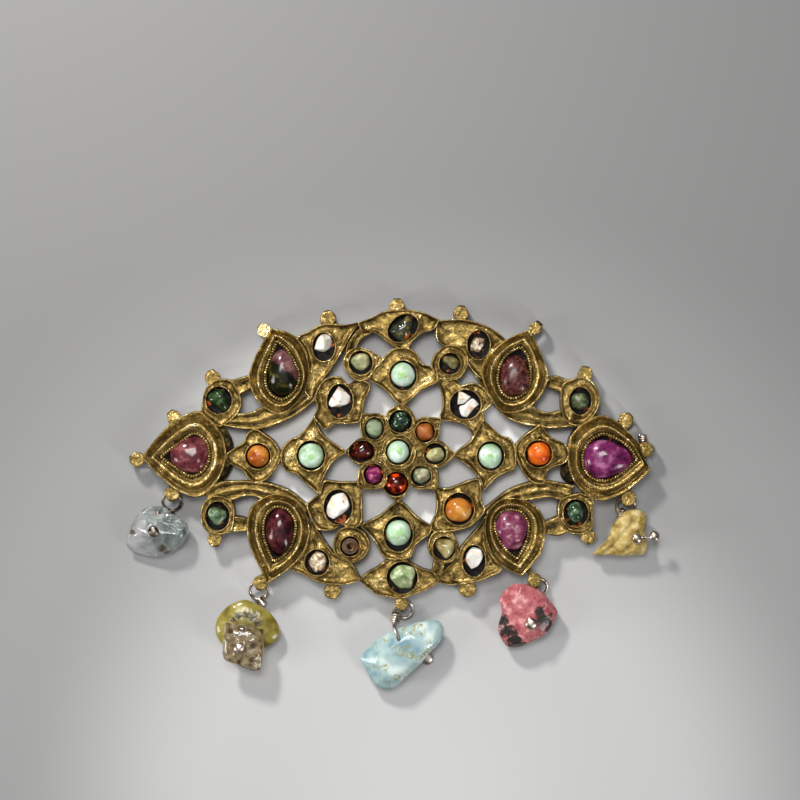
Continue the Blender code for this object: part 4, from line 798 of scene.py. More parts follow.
def piece(name, shapes, marks=None):
    """One object made of closed shapes, smooth shaded, with a number per point for each
    mark, such as how worn or how deep the place is."""
    starts = np.cumsum([0] + [len(s[0]) for s in shapes])
    points = np.vstack([s[0] for s in shapes])
    corners, sizes = [], []
    for start, (_, faces, caps) in zip(starts, shapes):
        corners.append((faces + start).ravel())
        sizes.append(np.full(len(faces), 4))
        for cap in caps:
            corners.append(cap + start)
            sizes.append(np.array([len(cap)]))
    corners, sizes = np.concatenate(corners), np.concatenate(sizes)
    mesh = bpy.data.meshes.new(name)
    mesh.vertices.add(len(points))
    mesh.vertices.foreach_set("co", points.ravel())
    mesh.loops.add(len(corners))
    mesh.loops.foreach_set("vertex_index", corners)
    mesh.polygons.add(len(sizes))
    mesh.polygons.foreach_set("loop_start", np.concatenate([[0], np.cumsum(sizes)[:-1]]))
    mesh.polygons.foreach_set("use_smooth", np.ones(len(sizes), bool))
    mesh.update(calc_edges=True)
    mesh.validate()
    for mark, values in (marks or {}).items():
        layer = mesh.attributes.new(mark, "FLOAT", "POINT")
        layer.data.foreach_set("value", np.concatenate([np.ravel(v) for v in values]))
    made = bpy.data.objects.new(name, mesh)
    bpy.context.scene.collection.objects.link(made)
    return made


def dressed(made, finish, slot_name, *nodes):
    """The piece with its finish, riding on the brooch and standing for CAD nodes."""
    made.data.materials.append(finish)
    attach(made, "root")
    if nodes:
        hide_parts(*nodes)
    return made


def at_height(plan, z):
    """A plan loop lifted to a height, or to a height per point."""
    return np.column_stack([plan, np.broadcast_to(z, len(plan))])


def soft_steps(t, places, heights):
    """Heights read from a few places, with level ground at each of them."""
    places, heights = np.asarray(places), np.asarray(heights)
    k = np.clip(np.searchsorted(places, t, side="right") - 1, 0, len(places) - 2)
    f = np.clip((t - places[k]) / (places[k + 1] - places[k]), 0, 1)
    f = f * f * (3 - 2 * f)
    return heights[k] + (heights[k + 1] - heights[k]) * f


def cell_shape(outline, pocket, rim, seed):
    """A walled cell under burnished foil. Rows run up the wall, over a thin round ridge,
    through a crumpled hollow, over a thin lip and down the pocket. The depth of the
    hollow follows its width."""
    outer = round_curve(outline, CELL_POINTS)
    inner = metres(oval_edge(pocket, outer))
    outer = metres(outer)
    span = np.linalg.norm(inner - outer, axis=1)
    toward = (inner - outer) / span[:, None]
    worn = np.clip(0.72 + 0.6 * lumps(WEAR_SIZE, seed + 4, *outer.T), 0.15, 1.25)
    ridge = np.minimum(RIDGE_WIDTH * (0.75 + 0.35 * worn), span * 0.34)
    lip = np.minimum(LIP_WIDTH, span * 0.22)
    turn = np.linspace(0, 2 * np.pi, CELL_POINTS, endpoint=False)
    wander = raised(lumps, CELL_WANDER, seed, *outer.T)
    depth = np.minimum(HOLLOW_DEPTH, 0.30 * span)
    rows, deep = [], []

    def row(offset, z, hollow):
        """One loop at a distance in from the outline, at a height."""
        rows.append(at_height(outer + toward * np.reshape(offset, (-1, 1)), z + wander))
        deep.append(np.broadcast_to(hollow, CELL_POINTS))

    # The third value of each row says how dark the gilt is painted: patina in the hollow, painted
    # shade down the wall and into the pocket, and a painted highlight on ridge and lip tops.
    flat = np.zeros(CELL_POINTS)
    rows.append(at_height(outer + toward * WALL_FOOT_INSET, 0.0))
    deep.append(flat + 0.8)
    for share in (0.3, 0.6, 0.85):
        row(flat + WALL_RIPPLE * np.sin(9 * share), rim * share, 0.7)
    # Ridge tops are painted lighter where worn: burnished wear with a painted highlight.
    for u in np.linspace(0, 1, 7):
        arch = np.sqrt(max(1 - (2 * u - 1) ** 2, 0))
        row(ridge * u, rim - RIDGE_RISE + RIDGE_RISE * arch * worn, 0.60 - 0.52 * arch * worn)
    floor = rim - RIDGE_RISE
    for t in np.linspace(0, 1, HOLLOW_ROWS + 2)[1:-1]:
        offset = ridge + (span - ridge - lip) * t
        where = outer + toward * offset[:, None]
        bowl = np.sin(np.pi * t ** 0.8)
        crumple = raised(wrinkles, CELL_CRUMPLE, seed + 1, *where.T)
        crumple = crumple + raised(wrinkles, CELL_GRAIN, seed + 2, *where.T)
        folds = FOLD_HEIGHT * np.sin(turn * FOLDS_ROUND + 2.5 * lumps(0.003, seed + 3, *where.T))
        uneven = (crumple + folds) * min(1, 4 * t * (1 - t))
        z = floor - depth * bowl * 0.75 - LIP_FALL * t + uneven
        # Painted shade: darker in the crevices at the foot of the ridge and by the lip, and in the
        # troughs of the crumples, lighter on their crests.
        crevice_shade = np.exp(-(t / 0.12) ** 2) + 0.6 * np.exp(-((1 - t) / 0.10) ** 2)
        row(offset, z, 0.30 + 0.05 * bowl + 0.7 * crevice_shade - 1500 * crumple)
    high = floor - LIP_FALL
    # Lip tops are painted lighter: a painted highlight.
    for u in np.linspace(0, 1, 5):
        arch = np.sqrt(max(1 - (2 * u - 1) ** 2, 0))
        row(span - lip * (1 - u), high + lip * 0.5 * arch, 0.6 - 0.46 * arch)
    row(span + 0.00002, high - 0.0004, 0.9)
    row(span + 0.00006, POCKET_FLOOR + 0.0006, 1.0)
    rows.append(at_height(inner + toward * 0.00008, POCKET_FLOOR))
    deep.append(flat + 1.0)
    return lofted(rows), np.concatenate(deep)


def drop_shape(outline, pocket, seed):
    """A teardrop cell: rows climb its wall to a thin rim, sink into a channel, climb a
    second, higher collar and fall to the seat of the milled wire."""
    outer = metres(round_curve(outline, DROP_POINTS))
    inner = metres(round_curve(pocket, DROP_POINTS))
    wander = raised(lumps, DROP_WANDER, seed, *outer.T)
    # The second list says how dark the gilt is painted: painted shade down the wall and at the seat.
    rows, deep = [at_height(outer, 0.0)], [0.8]
    for share in (0.3, 0.6, 0.9):
        rows.append(at_height(outer, DROP_RIM * share))
        deep.append(0.7)
    for t in np.linspace(0, 1, DROP_ROWS):
        plan = outer + (inner - outer) * t
        z = soft_steps(t, DROP_PLACES, DROP_HEIGHTS)
        crumple = raised(wrinkles, DROP_CRUMPLE, seed + 1, *plan.T)
        crumple = crumple + raised(lumps, FINE_GRAIN, seed + 2, *plan.T)
        rows.append(at_height(plan, z + wander + crumple * np.sin(np.pi * t)))
        deep.append(soft_steps(t, DROP_PLACES, DROP_PATINA_AND_PAINTED_LIGHT))
    rows.append(at_height(inner, DROP_SEAT - SEAT_DEPTH))
    deep.append(1.0)
    rows.append(at_height(inner, POCKET_FLOOR))
    deep.append(1.0)
    return lofted(rows), np.repeat(deep, DROP_POINTS)


def strap_shape(edge, other, seed, banded):
    """A soldered strap: its section has a ridge on each edge, one more down the middle
    where it is banded, hollows between them, and upright sides."""
    left = metres(open_curve(edge, STRAP_POINTS))
    right = metres(open_curve(other, STRAP_POINTS))
    places, heights = BANDED_SECTION if banded else PLAIN_SECTION
    across = np.linspace(0, 1, 26)
    level = ARM_HEIGHT + SECTION_STEP * soft_steps(across, places, heights)
    # The strap's gilt is painted lighter on its ridges and darker in the hollows between them and down
    # its sides: patina with painted highlight and shade.
    hollow = np.clip(0.45 - 0.16 * soft_steps(across, places, heights), 0, 1)
    across = np.concatenate([[0.01, 0.0], across, [1.0, 0.99]])
    level = np.concatenate([[0.0, ARM_HEIGHT * 0.6], level, [ARM_HEIGHT * 0.6, 0.0]])
    hollow = np.concatenate([[0.8, 0.7], hollow, [0.7, 0.8]])
    plan = left[:, None] + (right - left)[:, None] * across[:, None]
    x, y = plan[..., 0], plan[..., 1]
    crumple = raised(wrinkles, STRAP_CRUMPLE, seed, x, y)
    crumple = crumple + raised(lumps, FINE_GRAIN, seed + 1, x, y)
    uneven = np.where(level > RIPPLE_FREE_HEIGHT, crumple, 0)
    rise = tucked(plan, level + uneven, [*CELLS, *DROPS])
    grid = np.dstack([plan, rise])
    return lofted(grid), np.tile(hollow, STRAP_POINTS)


def plate_shape(outline, bottom, top, seed, rough, covers=()):
    """A crumpled plate on an outline: rows climb its side and close in to its middle."""
    plan = metres(round_curve(outline, PLATE_POINTS))
    middle = plan.mean(axis=0)
    rows = [at_height(plan, bottom), at_height(plan, top - 0.0003)]
    for t in np.linspace(0, 0.97, PLATE_ROWS):
        here = plan + (middle - plan) * t
        z = top + rough * wrinkles(PLATE_CREASE, seed, *here.T) * min(1, 0.2 + 4 * t)
        rows.append(at_height(here, tucked(here, z, covers)))
    shape = lofted(rows)
    return shape, np.full(len(shape[0]), 0.6)


def loop_frame(x, y, degrees):
    """A loop's disc centre, its outward and its sideways direction."""
    angle = np.radians(degrees)
    out = np.array([np.cos(angle), np.sin(angle)])
    return metres((x, y)), out, np.array([-out[1], out[0]])


def disc_shape(centre, radius, bottom, top, seed):
    """A flat disc cut by hand: its radius wanders a little, its edge is round and its
    face is pitted."""
    turn = np.linspace(0, 2 * np.pi, 40, endpoint=False)
    wide = radius * (1 + 0.035 * np.sin(2 * turn + seed) + 0.02 * np.sin(5 * turn + 2 * seed))
    rows = []
    thick = top - bottom
    for inset, rise in DISC_PROFILE:
        reach = wide * (1 - inset)
        plan = centre + np.column_stack([np.cos(turn), np.sin(turn)]) * reach[:, None]
        pits = raised(lumps, DISC_PITS, seed, *plan.T) * (rise > 0.9)
        rows.append(at_height(plan, bottom + thick * rise + pits))
    shape = lofted(rows)
    return shape, np.tile(0.3, len(shape[0]))


def swept(path, across, up, section):
    """A bar along a path. Its section, given in shares of `across` and `up`, is carried
    with the path's own sideways direction level."""
    path = np.asarray(path, float)
    along = np.gradient(path, axis=0)
    along /= np.linalg.norm(along, axis=1)[:, None]
    side = np.broadcast_to(across, path.shape)
    over = np.cross(along, side)
    return path[:, None] + side[:, None] * section[:, :1] + over[:, None] * section[:, 1:] * up


def loop_strap(spec, width):
    """The bent strip under a loop's disc: out along the back, then up to the disc."""
    centre, out, side = loop_frame(*spec[:3])
    bend = SLOT_HALF + STRAP_THICK / 2
    low = STRAP_BOTTOM + STRAP_THICK / 2
    route = [(back, low) for back in STRIP_BACK]
    route += [(bend + out_by, low + up_by) for out_by, up_by in LOW_BEND]
    route += [(bend + out_by, DISC_BOTTOM + up_by) for out_by, up_by in HIGH_BEND]
    flat = open_curve(route, 30)
    path = np.column_stack([centre + out * flat[:, :1], flat[:, 1]])
    turn = np.linspace(0, 2 * np.pi, 16, endpoint=False)
    square = np.column_stack([np.cos(turn), np.sin(turn)])
    square = np.sign(square) * np.abs(square) ** 0.5
    section = square * (width / 2, STRAP_THICK / 2)
    shape = lofted(swept(path, (*side, 0.0), 1.0, section))
    return shape, np.full(len(shape[0]), 0.45)


def tube(path, radius, sides=10):
    """A round bar along a path whose radius may change from point to point. The first
    sideways direction is carried along the path without twist."""
    path = np.asarray(path, float)
    along = np.gradient(path, axis=0)
    along /= np.linalg.norm(along, axis=1)[:, None]
    side = np.empty_like(path)
    start = np.cross(along[0], (0, 0, 1))
    if np.linalg.norm(start) < 0.2:
        start = np.cross(along[0], (1, 0, 0))
    side[0] = start / np.linalg.norm(start)
    for k in range(1, len(path)):
        lean = side[k - 1] - along[k] * np.dot(side[k - 1], along[k])
        side[k] = lean / np.linalg.norm(lean)
    over = np.cross(along, side)
    turn = np.linspace(0, 2 * np.pi, sides, endpoint=False)
    radius = np.broadcast_to(radius, len(path))[:, None, None]
    ring = side[:, None] * np.cos(turn)[:, None] + over[:, None] * np.sin(turn)[:, None]
    return lofted(path[:, None] + ring * radius)


def wire_ring(hub, out, radius, thick, around=48, sides=10):
    """A closed ring that dips from its loop towards its pendant: a circle of circles
    whose height falls with the cosine of the angle from `out`."""
    a = np.linspace(0, 2 * np.pi, around, endpoint=False)
    b = np.linspace(0, 2 * np.pi, sides, endpoint=False)
    toward = np.column_stack([np.cos(a), np.sin(a)])
    middle = WIRE_HEIGHT - RING_DROP * (1 + toward @ out) / 2
    reach = radius + thick * np.cos(b)[None, :]
    x = hub[0] + toward[:, :1] * reach
    y = hub[1] + toward[:, 1:] * reach
    z = middle[:, None] + thick * np.sin(b)[None, :]
    grid = np.dstack([x, y, z])
    return lofted(np.concatenate([grid, grid[:1]]), ends=False)


def coil(start, end, radius, thick, turns, sides=8):
    """Wire wound round a straight neck: a helix carried along it."""
    start, end = np.asarray(start, float), np.asarray(end, float)
    along = end - start
    length = np.linalg.norm(along)
    along /= length
    side = np.cross(along, (0.3, 0.2, 1.0))
    side /= np.linalg.norm(side)
    over = np.cross(along, side)
    t = np.linspace(0, 1, int(turns * 18))
    turn = 2 * np.pi * turns * t[:, None]
    path = start + along * length * t[:, None]
    path = path + (side * np.cos(turn) + over * np.sin(turn)) * radius
    return tube(path, thick, sides)


def knob(x, y, z, wide, tall, seed):
    """A small hammered ball: a round solid whose rows shrink by the cosine."""
    turn = np.linspace(0, 2 * np.pi, 28, endpoint=False)
    rows = []
    for lift in np.linspace(-0.48, 0.48, 14) * np.pi:
        reach = wide * np.cos(lift) ** 0.85
        plan = np.column_stack([x + reach * np.cos(turn), y + reach * np.sin(turn)])
        dent = 1 + 0.05 * lumps(0.0012, seed, plan[:, 0], plan[:, 1])
        plan = (x, y) + (plan - (x, y)) * dent[:, None]
        rows.append(at_height(plan, z + tall * np.sin(lift)))
    return lofted(rows)


def stone_outline(spec, count):
    """The plan of a stone: a rounded square-to-oval whose sides lean by `egg`."""
    x, y, width, height, turn, egg, power, _ = spec
    t = np.linspace(0, 2 * np.pi, count, endpoint=False)
    c, s = np.cos(t), np.sin(t)
    r = (np.abs(c) ** power + np.abs(s) ** power) ** (-1 / power)
    u, v = c * r * width / 2, s * r * height / 2
    u = u * (1 - egg * 2 * v / height)
    angle = np.radians(turn)
    return np.column_stack([x + u * np.cos(angle) - v * np.sin(angle),
                            y - u * np.sin(angle) - v * np.cos(angle)])


def with_cut_faces(rows, count, seed, height, cuts):
    """The rows with flat faces: each is a plane in a seeded direction, and what stands
    over it is pushed back along its normal."""
    grid = np.array(rows)
    leans, depths, share = cuts
    draw = np.random.default_rng(seed)
    for _ in range(count):
        angle = draw.uniform(0, 2 * np.pi)
        lean = draw.uniform(*leans)
        level = (np.cos(angle) * np.sin(lean), np.sin(angle) * np.sin(lean))
        normal = np.array([*level, np.cos(lean)])
        cut = np.max(grid @ normal) - height * draw.uniform(*depths)
        over = np.maximum(grid @ normal - cut, 0)
        grid = grid - over[..., None] * normal * share
    return grid


def stone_shape(name, spec, seed):
    """A polished dome: rows climb from its foot, bulge and close over, shrinking by the
    cosine to a power; chips are cut flat by planes that push the rows back."""
    look = STONE_LOOKS[name]
    count = 96 if "drop" in name else 64
    if name in CHIP_OUTLINES:
        plan = metres(round_curve(CHIP_OUTLINES[name], count))
        middle = plan.mean(axis=0)
    else:
        plan = metres(stone_outline(spec, count))
        middle = metres(spec[:2])
    crown = spec[7]
    if look.get("eyelet"):
        return lofted([
            at_height(middle + (plan - middle) * reach, STONE_BASE + crown * rise)
            for reach, rise in EYELET_PROFILE
        ])
    rows = []
    for lift in np.linspace(-0.16, 0.475, 30) * np.pi:
        reach = np.cos(lift) ** look.get("swell", 0.8)
        rise = np.sin(lift)
        here = middle + (plan - middle) * reach
        bump = look.get("lump", 0.02) * lumps(
            STONE_LUMP_SIZE, seed, here[:, 0], here[:, 1] + rise * crown)
        here = middle + (here - middle) * (1 + bump[:, None])
        z = STONE_BASE + crown * (0.36 + 0.64 * rise) + 0.00005 * bump / 0.02 * (rise > 0)
        rows.append(at_height(here, z))
    return lofted(with_cut_faces(rows, look.get("facets", 0), seed + 7, crown, STONE_CUTS))


def bead_shape(spec, look, seed):
    """A tumbled bead: its outline shrinks towards top and bottom by the cosine, lumps
    swell it, and seeded planes cut its faces."""
    outline, bottom, top, _ = spec
    plan = metres(round_curve(outline, 128))
    middle = plan.mean(axis=0)
    half = (top - bottom) / 2
    rows = []
    for lift in np.linspace(-0.49, 0.49, 48) * np.pi:
        reach = np.cos(lift) ** look.get("swell", 0.72)
        rise = np.sign(np.sin(lift)) * abs(np.sin(lift)) ** look.get("flat", 0.9)
        here = middle + (plan - middle) * reach
        bump = look.get("lump", 0.03) * lumps(
            BEAD_LUMP_SIZE, seed, *here.T, here[:, 0] * 0 + rise * half)
        here = middle + (here - middle) * (1 + bump[:, None] * reach)
        pressed = np.minimum(bump * 1.5 * abs(rise), 0)
        if "folds" in look:
            across, along, pitch, depth = look["folds"]
            wave = np.sin((here[:, 0] * across + here[:, 1] * along) * 2 * np.pi / pitch + 12 * bump)
            pressed = pressed - depth * (0.5 + 0.5 * wave) ** 3 * abs(rise)
        z = bottom + half * (1 + rise * (1 + pressed))
        rows.append(at_height(here, z))
    return lofted(with_cut_faces(rows, look.get("facets", 0), seed + 5, half, BEAD_CUTS))


# The look of each set stone: its tones from dark to pale in 8-bit screen colours, the
# size of their patches in metres and its roughness. Where they apply: how much light
# goes through, the tones of its lower part with the line where they start, specks,
# blots (x, y and size in drawing steps), lumps, cut faces, and an eyelet's hole.
STONE_LOOKS = {
    "stone_centre": dict(tones=MINT, grain=0.0038, rough=0.22,
        blotted=GREEN_CORE, blots=((399.5, 451, 3.4),)),
    "stone_star_top": dict(tones=MINT, grain=0.0040, rough=0.24, specks=RUST,
        blotted=GREEN_CORE, blots=((402.5, 374.5, 3.4),)),
    "stone_star_left": dict(tones=MINT, grain=0.0036, rough=0.24, specks=RUST,
        blotted=GREEN_CORE, blots=((311, 456, 3.4),)),
    "stone_star_right": dict(tones=MINT, grain=0.0042, rough=0.22, specks=RUST,
        blotted=GREEN_CORE, blots=((491, 456, 3.4),)),
    "stone_star_bottom": dict(tones=MINT, grain=0.0039, rough=0.24, specks=RUST,
        blotted=GREEN_CORE, blots=((399, 532, 3.4),)),
    "stone_petal_top": dict(
        tones=((12, 18, 12), (26, 44, 32), (88, 112, 84)), grain=0.0013, rough=0.10,
        specks=(172, 190, 158), lump=0.05),
    "stone_petal_upper_right": dict(
        tones=((112, 54, 14), (134, 70, 22), (154, 90, 38)), grain=0.0022, rough=0.42),
    "stone_petal_right": dict(
        tones=((122, 130, 88), (168, 164, 114), (204, 192, 142)), grain=0.0013, rough=0.55,
        lump=0.08, facets=3),
    "stone_petal_lower_right": dict(
        tones=((84, 106, 76), (150, 148, 114), (210, 194, 170)), grain=0.0015, rough=0.45,
        lump=0.10, facets=3),
    "stone_petal_bottom": dict(
        tones=((24, 3, 3), (66, 9, 5), (255, 74, 14)), grain=0.0021, rough=0.07, through=0.35),
    "stone_petal_lower_left": dict(
        tones=((70, 12, 42), (126, 36, 84), (186, 96, 130)), grain=0.0016, rough=0.16,
        through=0.2, facets=3),
    "stone_petal_left": dict(
        tones=((22, 4, 3), (54, 12, 7), (92, 32, 20)), grain=0.0016, rough=0.12,
        through=0.3, lump=0.05),
    "stone_petal_upper_left": dict(
        tones=((84, 102, 78), (128, 138, 106), (108, 132, 114)), grain=0.0011, rough=0.6,
        lump=0.08),
    "stone_corner_upper_left": dict(
        tones=((184, 162, 130), (222, 214, 200), (238, 234, 226)), grain=0.0030, rough=0.32,
        specks=RUST, facets=3),
    "stone_corner_upper_right_a": dict(
        tones=((196, 172, 134), (222, 218, 210), (238, 234, 228)), grain=0.0024, rough=0.35,
        specks=RUST, facets=3),
    "stone_corner_upper_right_b": dict(
        tones=((206, 160, 118), (224, 222, 212), (242, 242, 238)), grain=0.0022, rough=0.35,
        specks=RUST, facets=3),
    "stone_corner_lower_left": dict(
        tones=((204, 186, 156), (232, 228, 220), (244, 242, 236)), grain=0.0036, rough=0.28,
        specks=RUST, lump=0.05, facets=3),
    "stone_corner_lower_right": dict(
        tones=((140, 66, 18), (188, 116, 42), (214, 162, 84)), grain=0.0042, rough=0.16,
        through=0.15),
    "stone_ring_upper_left": dict(
        tones=((96, 104, 72), (142, 142, 104), (180, 172, 132)), grain=0.0016, rough=0.38,
        lump=0.06, facets=2),
    "stone_ring_upper_right": dict(
        tones=((66, 62, 34), (104, 98, 60), (142, 132, 92)), grain=0.0015, rough=0.42,
        lump=0.06, facets=2),
    "stone_ring_lower_left": dict(
        tones=((58, 42, 26), (88, 66, 42), (116, 92, 64)), grain=0.0018, rough=0.5,
        eyelet=True),
    "stone_ring_lower_right": dict(
        tones=((132, 112, 58), (186, 172, 118), (222, 214, 168)), grain=0.0024, rough=0.10,
        through=0.35),
    "stone_leaf_upper_left": dict(
        tones=((150, 138, 116), (202, 196, 184), (236, 232, 224)), grain=0.0024, rough=0.35,
        facets=3),
    "stone_leaf_upper_right": dict(
        tones=((76, 44, 14), (150, 128, 96), (236, 224, 200)), grain=0.0010, rough=0.14,
        through=0.1, facets=3),
    "stone_leaf_lower_left": dict(
        tones=((92, 56, 22), (180, 162, 130), (246, 238, 220)), grain=0.0008, rough=0.38,
        specks=RUST, facets=3),
    "stone_leaf_lower_right": dict(
        tones=((178, 168, 150), (216, 212, 202), (240, 238, 230)), grain=0.0028, rough=0.34,
        facets=3),
    # The amber blot on the top stone is a painted glint.
    "stone_top": dict(
        blotted=(214, 110, 16), blots=((407.8, 337, 2.6),), ragged=0.0008,
        tones=((18, 22, 16), (58, 64, 48), (170, 138, 60)), grain=0.0026, rough=0.06,
        through=0.3),
    "stone_bottom": dict(
        tones=((104, 128, 84), (160, 178, 126), (216, 222, 184)), grain=0.0020, rough=0.14,
        through=0.2, specks=RUST, facets=2),
    "stone_coral_left": dict(
        tones=((122, 52, 12), (158, 84, 26), (190, 124, 56)), grain=0.0030, rough=0.20),
    "stone_coral_right": dict(
        tones=((170, 56, 10), (206, 92, 22), (226, 134, 52)), grain=0.0030, rough=0.20,
        specks=(70, 20, 8)),
    "stone_end_upper_left": dict(
        tones=((12, 20, 8), (40, 62, 32), (86, 108, 68)), grain=0.0016, rough=0.09,
        through=0.2, lump=0.05),
    "stone_end_upper_right": dict(
        tones=((36, 42, 26), (70, 78, 52), (112, 118, 88)), grain=0.0013, rough=0.25),
    "stone_end_lower_left": dict(
        tones=((46, 66, 44), (92, 114, 82), (158, 176, 142)), grain=0.0016, rough=0.14,
        through=0.15, lump=0.06),
    "stone_end_lower_right": dict(
        tones=((14, 28, 20), (46, 70, 48), (112, 136, 104)), grain=0.0016, rough=0.07,
        through=0.25),
    "stone_drop_left": dict(
        tones=((60, 20, 26), (98, 44, 50), (140, 84, 82)), grain=0.0018, rough=0.14,
        through=0.20, lump=0.04),
    "stone_drop_upper_left": dict(
        tones=((56, 28, 32), (90, 54, 56), (130, 92, 92)), grain=0.0024, rough=0.16,
        through=0.15, foot=((6, 8, 2), (20, 22, 6), (78, 70, 18)), split=(284, 370, 0.75)),
    "stone_drop_upper_right": dict(
        tones=((38, 12, 14), (74, 34, 32), (118, 72, 62)), grain=0.0009, rough=0.26,
        through=0.14),
    "stone_drop_right": dict(
        tones=((62, 12, 44), (118, 38, 90), (178, 108, 150)), grain=0.0030, rough=0.14,
        through=0.30),
    "stone_drop_lower_left": dict(
        tones=((16, 4, 8), (44, 12, 22), (90, 36, 40)), grain=0.0022, rough=0.14,
        through=0.25),
    "stone_drop_lower_right": dict(
        tones=((70, 22, 42), (124, 56, 84), (186, 140, 150)), grain=0.0022, rough=0.14,
        through=0.20, lump=0.04),
}

# Plans of the chipped and uneven stones that aren't ovals, in drawing steps; a third
# value marks a sharp corner.
CHIP_OUTLINES = {
    "stone_corner_upper_left": [
        (338.5, 386, 1), (344, 390), (350, 396.5, 1), (348.7, 403), (341, 406.4),
        (330.8, 407.5, 1), (328.8, 402)],
    "stone_corner_upper_right_a": [
        (458.4, 390.6, 1), (464, 392.6), (471.6, 397, 1), (464.4, 403), (457.4, 404.6, 1)],
    "stone_corner_upper_right_b": [
        (464.2, 404.9, 1), (472.4, 398.4), (479.4, 404, 1), (474.6, 408.4), (467, 417.4, 1),
        (461.6, 416), (459.4, 407.4)],
    "stone_corner_lower_left": [
        (332, 496, 1), (338.5, 493.8), (343.6, 493.2, 1), (347.6, 498), (350.3, 506.6),
        (343.8, 512.8), (333, 519.4, 1), (327.6, 516.4), (326, 508)],
    "stone_leaf_upper_left": [
        (313.8, 349.4, 1), (316.4, 340), (321.8, 334), (328.4, 334.4), (331.8, 340),
        (331.4, 346.4, 1), (324, 351.6)],
    "stone_leaf_upper_right": [
        (470.6, 347.4), (472, 340.6, 1), (477, 337), (485, 338.8, 1), (484.4, 346),
        (479, 352.4, 1), (472.4, 351)],
    "stone_leaf_lower_left": [
        (307.6, 563.6), (311, 556.6, 1), (316.6, 551.6), (323.6, 553.4, 1), (326.6, 561),
        (322.6, 569.6), (314.6, 572.4, 1)],
    "stone_leaf_lower_right": [
        (466, 561), (466.6, 553.6, 1), (472.6, 547.6), (480.6, 549.4, 1), (483, 557),
        (478.4, 566), (471.4, 569.6, 1)],
    "stone_ring_upper_left": [
        (350.8, 362), (352, 356.6, 1), (358.5, 353.4), (365.4, 353), (369.8, 356, 1),
        (370, 364), (364, 370.6), (357, 370.6, 1)],
    "stone_petal_right": [
        (426, 457, 1), (428.2, 450.8), (433.8, 448), (440.6, 448, 1), (444, 453),
        (442.6, 460), (435.8, 463, 1), (429.6, 461)],
    "stone_petal_lower_right": [
        (413, 476), (415.6, 469.8, 1), (422.6, 467), (428.6, 469.4, 1), (430, 475),
        (427.6, 481), (420.6, 484, 1), (415.2, 481.6)],
    "stone_top": [
        (389.8, 330.8), (391.9, 335.6), (395.3, 339), (400.2, 341.1), (405.7, 340.4),
        (409.8, 337), (411.5, 330.8), (413.3, 323.2), (412.6, 318.3), (409.8, 314.9, 1),
        (406.4, 315.6), (402.2, 320.4), (395.3, 323.9)],
    "stone_ring_upper_right": [
        (442, 359.5, 1), (444.5, 356.5), (449.5, 355.5), (453.5, 356), (456.5, 357.5),
        (458, 362), (457, 366.5), (454.5, 369), (451, 368.5), (448.5, 366.5),
        (445.5, 364), (443, 362.5)],
    "stone_petal_left": [
        (350.4, 454.1, 1), (355.3, 446.9), (361.9, 442), (366.1, 441.4, 1), (369.1, 445.1),
        (372.2, 449.3), (373.4, 452.9), (370.3, 457.1), (366.7, 458.9), (361.9, 460.1),
        (357.1, 458.9), (352.2, 456.5)],
    "stone_end_upper_left": [
        (207.8, 396.5), (210.8, 392.3), (216.3, 388.6), (221.1, 389.2), (224.1, 391.1, 1),
        (224.7, 395.3), (227.1, 398.9), (229.6, 404.9, 1), (227.1, 409.2), (223.5, 411, 1),
        (218.7, 407.9), (213.9, 404.9), (209, 401.3)],
    "stone_end_upper_right": [
        (571, 399.2), (573.2, 394.8), (578.1, 392.8), (583.7, 393.2), (587.5, 395.9),
        (589.7, 401.5), (588.1, 407), (583.7, 409.7), (578.1, 409.7), (573.7, 408.1),
        (571, 403.7)],
    "stone_end_lower_left": [
        (209.3, 509.2), (212.4, 506.7), (217.4, 506.7), (221.1, 508.6), (225.4, 511.7, 1),
        (226.1, 516.6), (223.6, 520.3), (220.5, 525.3), (217.4, 526.5, 1), (213.7, 524.7),
        (209.9, 520.3), (207.7, 515.4)],
    "stone_bottom": [
        (389.5, 574.8, 1), (391.7, 570.5), (397.5, 566.1), (401.8, 565, 1), (408.3, 566.1),
        (413.4, 568.3), (415.6, 573.4, 1), (413.4, 580.6), (412, 586.4), (407.6, 591.5, 1),
        (403.3, 591.5), (398.9, 587.9), (393.9, 583.5), (390.2, 579.2)],
    "stone_ring_lower_right": [
        (435, 543), (436.6, 539.7, 1), (443.2, 538.6), (451, 539.7), (454.8, 543, 1),
        (455.4, 547.5), (453.2, 553), (449.9, 557.4), (446, 559.6, 1), (443.2, 557.4),
        (439.9, 553), (436.1, 547.5)],
}

